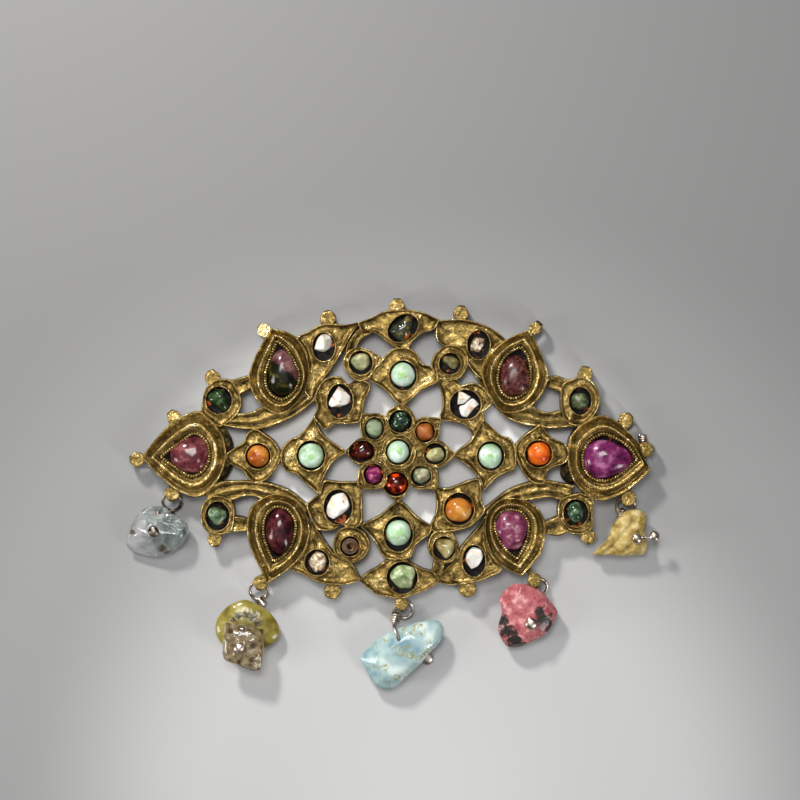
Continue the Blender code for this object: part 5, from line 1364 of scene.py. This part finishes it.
# The look of each bead, in the same terms, with veins, folds and the depth of relief.
BEAD_LOOKS = {
    # The rock crystal's foot tones are near white and cover its left side: a painted reflection.
    "bead_rock_crystal": dict(
        tones=((112, 124, 122), (186, 198, 194), (240, 246, 244)), grain=0.0030, rough=0.05,
        foot=((206, 212, 212), (252, 252, 252), (255, 255, 255)), split=(151, 536, 3.0),
        through=0.84, blotted=(104, 78, 42), ragged=0.0011, lump=0.07, facets=14, shine=0.5,
        relief=0.0007, blots=((132, 532, 3), (158, 513, 3.4), (162, 548, 4), (167, 554, 3))),
    "bead_yellow_green": dict(
        tones=((116, 102, 36), (166, 152, 70), (204, 192, 126)), grain=0.0042, rough=0.16,
        through=0.45, blotted=(66, 58, 26), ragged=0.0006, lump=0.04, shine=0.3, relief=0.0002,
        blots=((233, 620, 2.6), (238, 616, 3.4), (245, 615, 3.6), (252, 618, 3.6), (257, 624, 3.2),
               (261, 632, 2.8))),
    "bead_grey_quartz": dict(
        # The grey quartz's brown blots lie along its edges and paint the dark edges of its facets:
        # painted shade.
        tones=((108, 88, 56), (182, 162, 122), (230, 216, 184)), grain=0.0015, rough=0.06,
        through=0.74, specks=(60, 48, 34), lump=0.05, facets=10, relief=0.0004,
        blotted=(96, 76, 48), ragged=0.0006,
        blots=((231, 630, 3), (243, 629, 3), (254, 644, 3), (252, 658, 3), (240, 660, 2.6))),
    "bead_aqua": dict(
        tones=((126, 162, 174), (174, 200, 200), (226, 238, 232)), grain=0.0048, rough=0.14,
        through=0.30, veins=(164, 152, 78), vein=0.016, lump=0.04, facets=8),
    "bead_rhodonite": dict(
        tones=((128, 60, 66), (164, 90, 94), (202, 142, 138)), grain=0.0018, rough=0.26,
        blotted=(42, 38, 36), lump=0.02, facets=5, relief=0.00015,
        blots=((502, 621, 8), (507, 631, 8), (514, 641, 8), (521, 647, 6), (540, 611, 6),
               (544, 619, 8), (550, 628, 5))),
    "bead_twisted": dict(
        tones=((126, 100, 40), (172, 148, 80), (206, 188, 132)), grain=0.0018, rough=0.42,
        through=0.10, lump=0.07, facets=3, folds=(0.67, -0.74, 0.0034, 0.24), relief=0.0003),
}



def screen(colour):
    """An 8-bit screen colour as linear light."""
    c = np.array(colour) / 255
    return (*np.where(c <= 0.04045, c / 12.92, ((c + 0.055) / 1.055) ** 2.4), 1.0)


def blank(name, rough, metal=0.0):
    """A new finish and its shader."""
    made = bpy.data.materials.new(name)
    made.use_nodes = True
    shader = made.node_tree.nodes["Principled BSDF"]
    shader.inputs["Roughness"].default_value = rough
    shader.inputs["Metallic"].default_value = metal
    return made, made.node_tree, shader


def math_node(tree, operation, a, b):
    """Adds, multiplies or otherwise joins two numbers or outputs."""
    made = tree.nodes.new("ShaderNodeMath")
    made.operation = operation
    for socket, value in zip(made.inputs, (a, b)):
        if isinstance(value, (int, float)):
            socket.default_value = value
        else:
            tree.links.new(value, socket)
    return made.outputs[0]


def object_place(tree):
    """Where a point of the piece is, in metres."""
    return tree.nodes.new("ShaderNodeTexCoord").outputs["Object"]


def cloud(tree, size, seed, detail=3.0, rough=0.55):
    """Soft random patches about `size` metres across."""
    place = object_place(tree)
    shift = tree.nodes.new("ShaderNodeMapping")
    shift.inputs["Location"].default_value = (seed * 0.37, seed * 0.11, seed * 0.23)
    tree.links.new(place, shift.inputs["Vector"])
    made = tree.nodes.new("ShaderNodeTexNoise")
    made.inputs["Scale"].default_value = 1 / size
    made.inputs["Detail"].default_value = detail
    made.inputs["Roughness"].default_value = rough
    tree.links.new(shift.outputs["Vector"], made.inputs["Vector"])
    return made.outputs["Fac"]


def ramp(tree, factor, stops):
    """A run of colours along a number."""
    made = tree.nodes.new("ShaderNodeValToRGB")
    made.color_ramp.interpolation = "EASE"
    slots = made.color_ramp.elements
    while len(slots) < len(stops):
        slots.new(0.5)
    for slot, (place, colour) in zip(slots, stops):
        slot.position = place
        slot.color = colour
    tree.links.new(factor, made.inputs["Fac"])
    return made.outputs["Color"]


def toned(tree, factor, places, tones):
    """A run of screen colours along a number."""
    return ramp(tree, factor, [(place, screen(tone)) for place, tone in zip(places, tones)])


def mask(tree, factor, low, high):
    """Black where a number is under `low`, white where it is over `high`."""
    return ramp(tree, factor, [(low, BLACK), (high, WHITE)])


def blended(tree, factor, low, high):
    """One colour over another by a factor."""
    made = tree.nodes.new("ShaderNodeMix")
    made.data_type = "RGBA"
    tree.links.new(factor, made.inputs["Factor"])
    for key, value in (("A", low), ("B", high)):
        socket = next(s for s in made.inputs if s.name == key and s.type == "RGBA")
        if isinstance(value, tuple):
            socket.default_value = value
        else:
            tree.links.new(value, socket)
    return next(s for s in made.outputs if s.type == "RGBA")


def bumped(tree, shader, height, depth, strength=1.0):
    """Small relief from a height, `depth` metres high."""
    made = tree.nodes.new("ShaderNodeBump")
    made.inputs["Distance"].default_value = depth
    made.inputs["Strength"].default_value = strength
    tree.links.new(height, made.inputs["Height"])
    tree.links.new(made.outputs["Normal"], shader.inputs["Normal"])


def gilt_finish(name, tones, seed):
    """Aged gilding: painted bright on ridges as burnished wear and a painted highlight, olive in
    hollows as patina and painted shade, darker along the creases as painted shade, brown where it wore
    through.
    """
    made, tree, shader = blank(name, 0.5, 0.88)
    hollow = tree.nodes.new("ShaderNodeAttribute")
    hollow.attribute_name = "hollow"
    patches = cloud(tree, 0.0030, seed, 4.0, 0.6)
    fine = cloud(tree, 0.0006, seed + 3, 4.0, 0.7)
    folds = cloud(tree, 0.0036, seed + 6, 3.0, 0.5)
    crease = math_node(tree, "ABSOLUTE", math_node(tree, "SUBTRACT", folds, 0.5), 0.0)
    stains_and_crease_shade = math_node(tree, "ADD", math_node(tree, "MULTIPLY", patches, 0.35),
                      math_node(tree, "MULTIPLY", fine, 1.2))
    # Subtracting the crease darkens the gilt along the creases of the bump: painted shade.
    stains_and_crease_shade = math_node(tree, "SUBTRACT", stains_and_crease_shade, math_node(tree, "MULTIPLY", crease, 1.6))
    # The hollow mark adds patina, painted shade in crevices and pockets, and a painted highlight on
    # ridge tops.
    patina_and_painted_light = math_node(tree, "ADD", math_node(tree, "MULTIPLY", hollow.outputs["Fac"], 0.42),
                    math_node(tree, "SUBTRACT", stains_and_crease_shade, 0.29))
    colour = toned(tree, patina_and_painted_light, (0.05, 0.36, 0.62, 0.95), tones)
    red = mask(tree, cloud(tree, 0.0050, seed + 12, 4.0, 0.6), 0.69, 0.76)
    colour = blended(tree, red, colour, screen(RED_STAIN))
    tree.links.new(colour, shader.inputs["Base Color"])
    rough = math_node(tree, "ADD", math_node(tree, "MULTIPLY", patina_and_painted_light, 0.34), 0.15)
    tree.links.new(rough, shader.inputs["Roughness"])
    relief = math_node(tree, "ADD", math_node(tree, "MULTIPLY", fine, 0.42),
                       math_node(tree, "MULTIPLY", crease, 0.9))
    bumped(tree, shader, relief, 0.00050, 1.0)
    return made


def two_toned(tree, colour, patches, look):
    """The tones of a stone's foot beyond a leaning line, which wavers with its patches. On the rock
    crystal bead the near-white foot tones are a painted reflection on its left side.
    """
    x, y, lean = look["split"]
    place = tree.nodes.new("ShaderNodeSeparateXYZ")
    tree.links.new(object_place(tree), place.inputs[0])
    centre = metres((x, y))
    across = math_node(tree, "MULTIPLY", place.outputs["X"], lean / SPLIT_WIDTH)
    up = math_node(tree, "MULTIPLY", place.outputs["Y"], 1 / SPLIT_WIDTH)
    level = float(centre[1] + lean * centre[0]) / SPLIT_WIDTH
    past = math_node(tree, "SUBTRACT", math_node(tree, "ADD", up, across), level)
    factor = math_node(tree, "ADD", past, patches)
    low = toned(tree, patches, (0.34, 0.52, 0.70), look["foot"])
    return blended(tree, mask(tree, factor, 0.30, 0.70), low, colour)


def blotted(tree, colour, look, seed):
    """Ragged blots of one tone: each shows where the distance from its middle, seen from
    above and measured in its own size, is less than a cloud."""
    flat = tree.nodes.new("ShaderNodeVectorMath")
    flat.operation = "MULTIPLY"
    tree.links.new(object_place(tree), flat.inputs[0])
    flat.inputs[1].default_value = (1.0, 1.0, 0.0)
    ragged = cloud(tree, look.get("ragged", 0.0016), seed, 5.0, 0.8)
    wander = math_node(tree, "MULTIPLY", ragged, 3.4)
    for x, y, size in look["blots"]:
        place = tree.nodes.new("ShaderNodeVectorMath")
        place.operation = "DISTANCE"
        tree.links.new(flat.outputs["Vector"], place.inputs[0])
        place.inputs[1].default_value = (*metres((x, y)), 0.0)
        reach = math_node(tree, "DIVIDE", place.outputs["Value"], size * STEP)
        reach = math_node(tree, "ADD", math_node(tree, "SUBTRACT", reach, wander), 1.5)
        spot = ramp(tree, reach, [(0.50, WHITE), (0.95, BLACK)])
        colour = blended(tree, spot, colour, screen(look["blotted"]))
    return colour


def veined(tree, colour, look, seed):
    """Thin veins where a cloud is near its middle value, shown in some patches only."""
    lines = cloud(tree, 0.0046, seed + 6, 5.0, 0.6)
    near = math_node(tree, "ABSOLUTE", math_node(tree, "SUBTRACT", lines, 0.5), 0.0)
    thin = ramp(tree, near, [(look["vein"] * 0.4, WHITE), (look["vein"], BLACK)])
    shown = mask(tree, cloud(tree, 0.0050, seed + 8, 2.0), 0.46, 0.54)
    both = math_node(tree, "MULTIPLY", thin, shown)
    return blended(tree, both, colour, screen(look["veins"]))


def stone_finish(name, look, seed):
    """A stone: soft patches of its tones, with specks or veins and a polished skin."""
    made, tree, shader = blank(name, look["rough"])
    patches = cloud(tree, look["grain"], seed, 2.5)
    colour = toned(tree, patches, (0.30, 0.50, 0.68), look["tones"])
    if "foot" in look:
        colour = two_toned(tree, colour, patches, look)
    if "specks" in look:
        spots = mask(tree, cloud(tree, SPECK_SIZE, seed + 5, 2.0), 0.64, 0.72)
        colour = blended(tree, spots, colour, screen(look["specks"]))
    if "blots" in look:
        colour = blotted(tree, colour, look, seed)
    if "vein" in look:
        colour = veined(tree, colour, look, seed)
    tree.links.new(colour, shader.inputs["Base Color"])
    shader.inputs["Transmission Weight"].default_value = look.get("through", 0.0)
    shader.inputs["IOR"].default_value = 1.54
    shader.inputs["Specular IOR Level"].default_value = look.get("shine", 0.28)
    if look["rough"] < GLASSY:
        shader.inputs["Coat Weight"].default_value = 0.3
        shader.inputs["Coat Roughness"].default_value = 0.06
    matt = look["rough"] > MATT
    grain = cloud(tree, 0.0005 if matt else 0.0016, seed + 9, 3.0)
    relief = 0.00004 if matt else 0.00003
    bumped(tree, shader, grain, look.get("relief", relief), 0.7)
    return made


def resin_finish():
    """Dark old resin with amber patches painted in at random as glints."""
    made, tree, shader = blank("dark_resin", 0.42)
    # The amber end of the ramp paints glints in random patches.
    colour = toned(tree, cloud(tree, 0.0016, 3.0, 3.0), (0.40, 0.60, 0.68), RESIN)
    tree.links.new(colour, shader.inputs["Base Color"])
    shader.inputs["Specular IOR Level"].default_value = 0.08
    bumped(tree, shader, cloud(tree, 0.0009, 5.0), 0.00012, 0.9)
    return made


def silver_finish(name, tones):
    """Silver wire, bright where it was rubbed and brown-grey elsewhere."""
    made, tree, shader = blank(name, 0.3, 1.0)
    colour = toned(tree, cloud(tree, 0.0016, 11.0), (0.38, 0.55, 0.72), tones)
    tree.links.new(colour, shader.inputs["Base Color"])
    bumped(tree, shader, cloud(tree, 0.0005, 2.0), 0.00003, 0.6)
    return made


def layered_sheets():
    """The layered sheet at either side arm: three plates, each smaller and higher."""
    layers = []
    for number, outline in enumerate((LAYERS_LEFT, LAYERS_RIGHT)):
        middle = np.mean(outline, axis=0)
        for step in range(LAYER_STEPS):
            top = LAYER_HEIGHT * (0.5 + 0.25 * step)
            drawn = [tuple(middle + (np.array(p) - middle) * (1 - 0.10 * step)) for p in outline]
            shape, hollow = plate_shape(drawn, 0.0001 * step, top, 71 + number, LAYER_CRUMPLE)
            layers.append((shape, hollow + 0.6))
    return layers


def gilt_piece(name, shapes, finish):
    """A part of the gilt body, from shapes that each say how hollow they are."""
    made = piece(name, [s for s, _ in shapes], {"hollow": [h for _, h in shapes]})
    dressed(made, finish, "gilt", "gilt_openwork")


def gilt_pieces(gilt, pale_gilt):
    """The gilt body: cells in three groups, teardrops, straps, plates and loops."""
    groups = {"gilt_star_cells": [], "gilt_rosette_cells": [], "gilt_edge_cells": []}
    for number, (name, (outline, pocket)) in enumerate(CELLS.items()):
        rim = RIM_HEIGHT + RIM_SPREAD * np.sin(2.4 * number)
        if name.startswith(("star", "corner")):
            group = "gilt_star_cells"
        elif name.startswith(("petal", "centre")):
            group = "gilt_rosette_cells"
        else:
            group = "gilt_edge_cells"
        groups[group].append(cell_shape(outline, pocket, rim, 10 * number))
    groups["gilt_rosette_cells"].append(plate_shape(
        FIELD, 0.0, FIELD_HEIGHT + 0.0003, 61, FIELD_CRUMPLE,
        [name for name in CELLS if name.startswith(("petal", "centre"))]))
    groups["gilt_teardrop_cells"] = [
        drop_shape(outline, pocket, 500 + 10 * number)
        for number, (outline, pocket) in enumerate(DROPS.values())
    ]
    groups["gilt_straps"] = layered_sheets() + [
        strap_shape(edge, other, 700 + 10 * number, name.startswith("arm"))
        for number, (name, (edge, other)) in enumerate(STRIPS.items())
    ]
    for name, shapes in groups.items():
        gilt_piece(name, shapes, gilt)
    loops, pale_loops = [], []
    specs = [(s, STRAP_WIDTH) for s in LOOPS] + [(s, RING_STRAP_WIDTH) for s in PENDANT_LOOPS.values()]
    for number, (spec, width) in enumerate(specs):
        centre, _, _ = loop_frame(*spec[:3])
        target = pale_loops if number in PALE_LOOPS else loops
        target.append(disc_shape(centre, spec[3] * STEP, DISC_BOTTOM, DISC_TOP, number))
        target.append(loop_strap(spec, width))
    gilt_piece("gilt_strap_loops", loops, gilt)
    gilt_piece("gilt_rubbed_loops", pale_loops, pale_gilt)


def milled_wires(gilt):
    """Milled wire round each teardrop stone: a bar round the seat whose radius swells
    and shrinks once for each bead of the milling."""
    shapes = []
    for _, pocket in DROPS.values():
        edge = metres(round_curve(pocket, 400))
        middle = edge.mean(axis=0)
        away = edge - middle
        inset = MILLED_RADIUS * 0.9 / np.linalg.norm(away, axis=1)
        plan = edge - away * inset[:, None]
        length = np.sum(np.linalg.norm(np.roll(plan, -1, 0) - plan, axis=1))
        beads = round(length / MILLED_PITCH)
        count = beads * 7
        plan = spaced(plan, count)
        swell = np.abs(np.sin(np.pi * np.arange(count) * beads / count)) ** 0.7
        radius = MILLED_RADIUS * (0.50 + 0.52 * swell)
        turn = np.linspace(0, 2 * np.pi, 12, endpoint=False)
        side = np.roll(plan, -1, 0) - np.roll(plan, 1, 0)
        side = np.column_stack([side[:, 1], -side[:, 0]])
        side /= np.linalg.norm(side, axis=1)[:, None]
        reach = radius[:, None] * np.cos(turn)
        x = plan[:, :1] + side[:, :1] * reach
        y = plan[:, 1:] + side[:, 1:] * reach
        z = DROP_SEAT - MILLED_RADIUS * 0.4 + radius[:, None] * np.sin(turn)
        grid = np.dstack([x, y, z])
        shape = lofted(np.concatenate([grid, grid[:1]]), ends=False)
        # Each bead of the milling is painted lighter and each gap darker: painted highlight and shade.
        hollow = 1.3 - 1.2 * swell
        shapes.append((shape, np.repeat(np.append(hollow, hollow[0]), len(turn))))
    gilt_piece("milled_wires", shapes, gilt)


def resin_beds(resin):
    """The resin in every pocket: a glossy bed that climbs a little at the wall."""
    shapes = []
    edges = [
        metres(oval_edge(pocket, round_curve(outline, 72)))
        for outline, pocket in CELLS.values()
    ]
    edges += [metres(round_curve(pocket, 96)) for _, pocket in DROPS.values()]
    for number, edge in enumerate(edges):
        middle = edge.mean(axis=0)
        rows = []
        for share, z in RESIN_PROFILE:
            plan = middle + (edge - middle) * share
            rough = raised(lumps, RESIN_RIPPLE, number, *plan.T) * (share < 1)
            rows.append(at_height(plan, z + rough))
        shapes.append(lofted(rows))
    dressed(piece("resin_beds", shapes), resin, "gilt", "gilt_openwork")


def set_stones(slots):
    """Every inlaid stone with its own finish."""
    for number, (name, spec) in enumerate(STONES.items()):
        look = STONE_LOOKS[name]
        made = piece(name.replace("stone", "inlay", 1), [stone_shape(name, spec, 90 + number)])
        dressed(made, stone_finish(name + "_finish", look, 1.0 + number), slots[name], name)


def beads(slots):
    """The six tumbled beads."""
    for number, (name, spec) in enumerate(BEADS.items()):
        look = BEAD_LOOKS[name]
        made = piece(name.replace("bead", "tumbled", 1), [bead_shape(spec, look, 40 + number)])
        dressed(made, stone_finish(name + "_finish", look, 60.0 + number), slots[name], name)


def pendant_wires(silver, dull):
    """Ring, wound neck, shank and end of every pendant's wire."""
    for key, (centre, neck, route) in WIRES.items():
        over = OVER_BEAD + max(top for _, _, top, wire in BEADS.values() if wire == key)
        _, out, _ = loop_frame(*PENDANT_LOOPS[key][:3])
        hub = metres(centre)
        start, end = metres(neck[0]), metres(neck[1])
        toward = (start - hub) / np.linalg.norm(start - hub)
        high = WIRE_HEIGHT - RING_DROP * (1 + toward @ out) / 2
        shapes = [wire_ring(hub, out, RING_RADIUS, WIRE_RADIUS)]
        low = COIL_RADIUS + COIL_THICK
        shapes.append(coil((*start, max(high, low)), (*end, low), COIL_RADIUS, COIL_THICK, 4.0))
        shapes.append(tube([(*start, high), (*end, NECK_LOW)], WIRE_RADIUS * SHANK_SHARE))
        points = [(*end, NECK_LOW)]
        points += [(*metres(p[:2]), BACK_WIRE + (over - BACK_WIRE) * p[2]) for p in route]
        shapes.append(tube(open_curve(points, 90), WIRE_RADIUS))
        x, y, z = points[-1]
        shapes.append(knob(x, y, z, WIRE_ENDS.get(key, END_WIDTH), END_HEIGHT, 5))
        if key == "double":
            near, far = metres(QUARTZ_WINDING)
            shapes.append(coil((*near, z), (*far, z), QUARTZ_WOUND_RADIUS, QUARTZ_WOUND_THICK, 2.4))
        if key == "twisted":
            far = metres(CURL_END)
            halfway = (x, y) + (far - (x, y)) * 0.5
            curl = open_curve([(x, y, z), (*halfway, z + 0.0002), (*far, z)], 24)
            shapes.append(tube(curl, WIRE_RADIUS))
            shapes.append(knob(*far, z, END_WIDTH, CURL_END_HEIGHT, 6))
        finish = dull if key == "rock_crystal" else silver
        dressed(piece("silver_wire_" + key, shapes), finish, "silver_wire", "wire_" + key)


def wire_stub(silver):
    """The cut and wound bit of wire in the loop whose pendant is lost."""
    centre, _, side = loop_frame(*LOOPS[STUB_LOOP][:3])
    top, foot = centre + side * STUB_TOP, centre - side * STUB_FOOT
    low = centre + side * STUB_WOUND_FROM
    shapes = [
        tube([(*top, WIRE_HEIGHT), (*foot, WIRE_HEIGHT)], WIRE_RADIUS),
        coil((*low, WIRE_HEIGHT), (*top, WIRE_HEIGHT), COIL_RADIUS, COIL_THICK, 3.6),
    ]
    dressed(piece("silver_wire_stub", shapes), silver, "silver_wire", "wire_stub")


def floor():
    """A pale table with a painted pool of light: darker away from the brooch, painted whiter in the
    brooch's openings.
    """
    mesh = bpy.data.meshes.new("table")
    half = FLOOR_SIZE / 2
    mesh.from_pydata([(-half, -half, 0), (half, -half, 0), (half, half, 0), (-half, half, 0)],
                     [], [(0, 1, 2, 3)])
    made = bpy.data.objects.new("table", mesh)
    bpy.context.scene.collection.objects.link(made)
    made.location.z = -FLOOR_GAP
    finish, tree, shader = blank("table_painted_pool", 0.55)
    split = tree.nodes.new("ShaderNodeSeparateXYZ")
    tree.links.new(object_place(tree), split.inputs["Vector"])
    painted_pools = []
    for x, y, wide, tall, stops in PAINTED_TABLE_LIGHT:
        aside = math_node(tree, "DIVIDE", math_node(tree, "SUBTRACT", split.outputs["X"], x), wide)
        along = math_node(tree, "DIVIDE", math_node(tree, "SUBTRACT", split.outputs["Y"], y), tall)
        away = math_node(tree, "SQRT", math_node(
            tree, "ADD", math_node(tree, "MULTIPLY", aside, aside),
            math_node(tree, "MULTIPLY", along, along)), 0.0)
        painted_pools.append(ramp(tree, away, [(place, screen((g, g, g))) for place, g in stops]))
    # The second oval whitens the first in the brooch's openings: painted light.
    colour = blended(tree, painted_pools[1], painted_pools[0], WHITE)
    tree.links.new(colour, shader.inputs["Base Color"])
    made.data.materials.append(finish)


def lamp(name, place, size, power, colour):
    """A soft box that shines from a place towards the brooch's middle."""
    data = bpy.data.lights.new(name, "AREA")
    data.shape = "RECTANGLE"
    data.size, data.size_y = size
    data.energy = power
    data.color = colour
    made = bpy.data.objects.new(name, data)
    bpy.context.scene.collection.objects.link(made)
    made.location = place
    made.rotation_euler = (Vector() - Vector(place)).to_track_quat("-Z", "Y").to_euler()


def studio():
    """Camera straight above, soft light mostly from the upper left, a dim room around."""
    camera = bpy.data.cameras.new("camera")
    camera.sensor_width = SENSOR_WIDTH
    camera.lens = SENSOR_WIDTH * CAMERA_RISE / (PICTURE_WIDTH * STEP)
    camera.clip_start = 0.01
    made = bpy.data.objects.new("camera", camera)
    bpy.context.scene.collection.objects.link(made)
    made.location = (*metres(PICTURE_CENTRE), FACE_HEIGHT + CAMERA_RISE)
    bpy.context.scene.camera = made
    for name, (place, size, power, colour) in LAMPS.items():
        lamp(name, place, size, power, colour)
    bpy.context.scene.view_settings.view_transform = "Standard"
    world = bpy.data.worlds.new("room")
    bpy.context.scene.world = world
    world.use_nodes = True
    tree = world.node_tree
    place = tree.nodes.new("ShaderNodeTexCoord").outputs["Generated"]
    split = tree.nodes.new("ShaderNodeSeparateXYZ")
    tree.links.new(place, split.inputs["Vector"])
    tree.links.new(ramp(tree, split.outputs["Z"], ROOM), tree.nodes["Background"].inputs["Color"])


slots = {part["node"]: part["material_slot"] for part in frame["record"]["subparts"]}
gilt = gilt_finish("aged_gilt", GILT, 1.0)
pale_gilt = gilt_finish("rubbed_gilt", RUBBED_GILT, 4.0)
gilt_pieces(gilt, pale_gilt)
milled_wires(gilt)
resin_beds(resin_finish())
set_stones(slots)
beads(slots)
silver = silver_finish("silver_wire", SILVER)
pendant_wires(silver, silver_finish("dull_wire", DULL_SILVER))
wire_stub(silver)
floor()
studio()
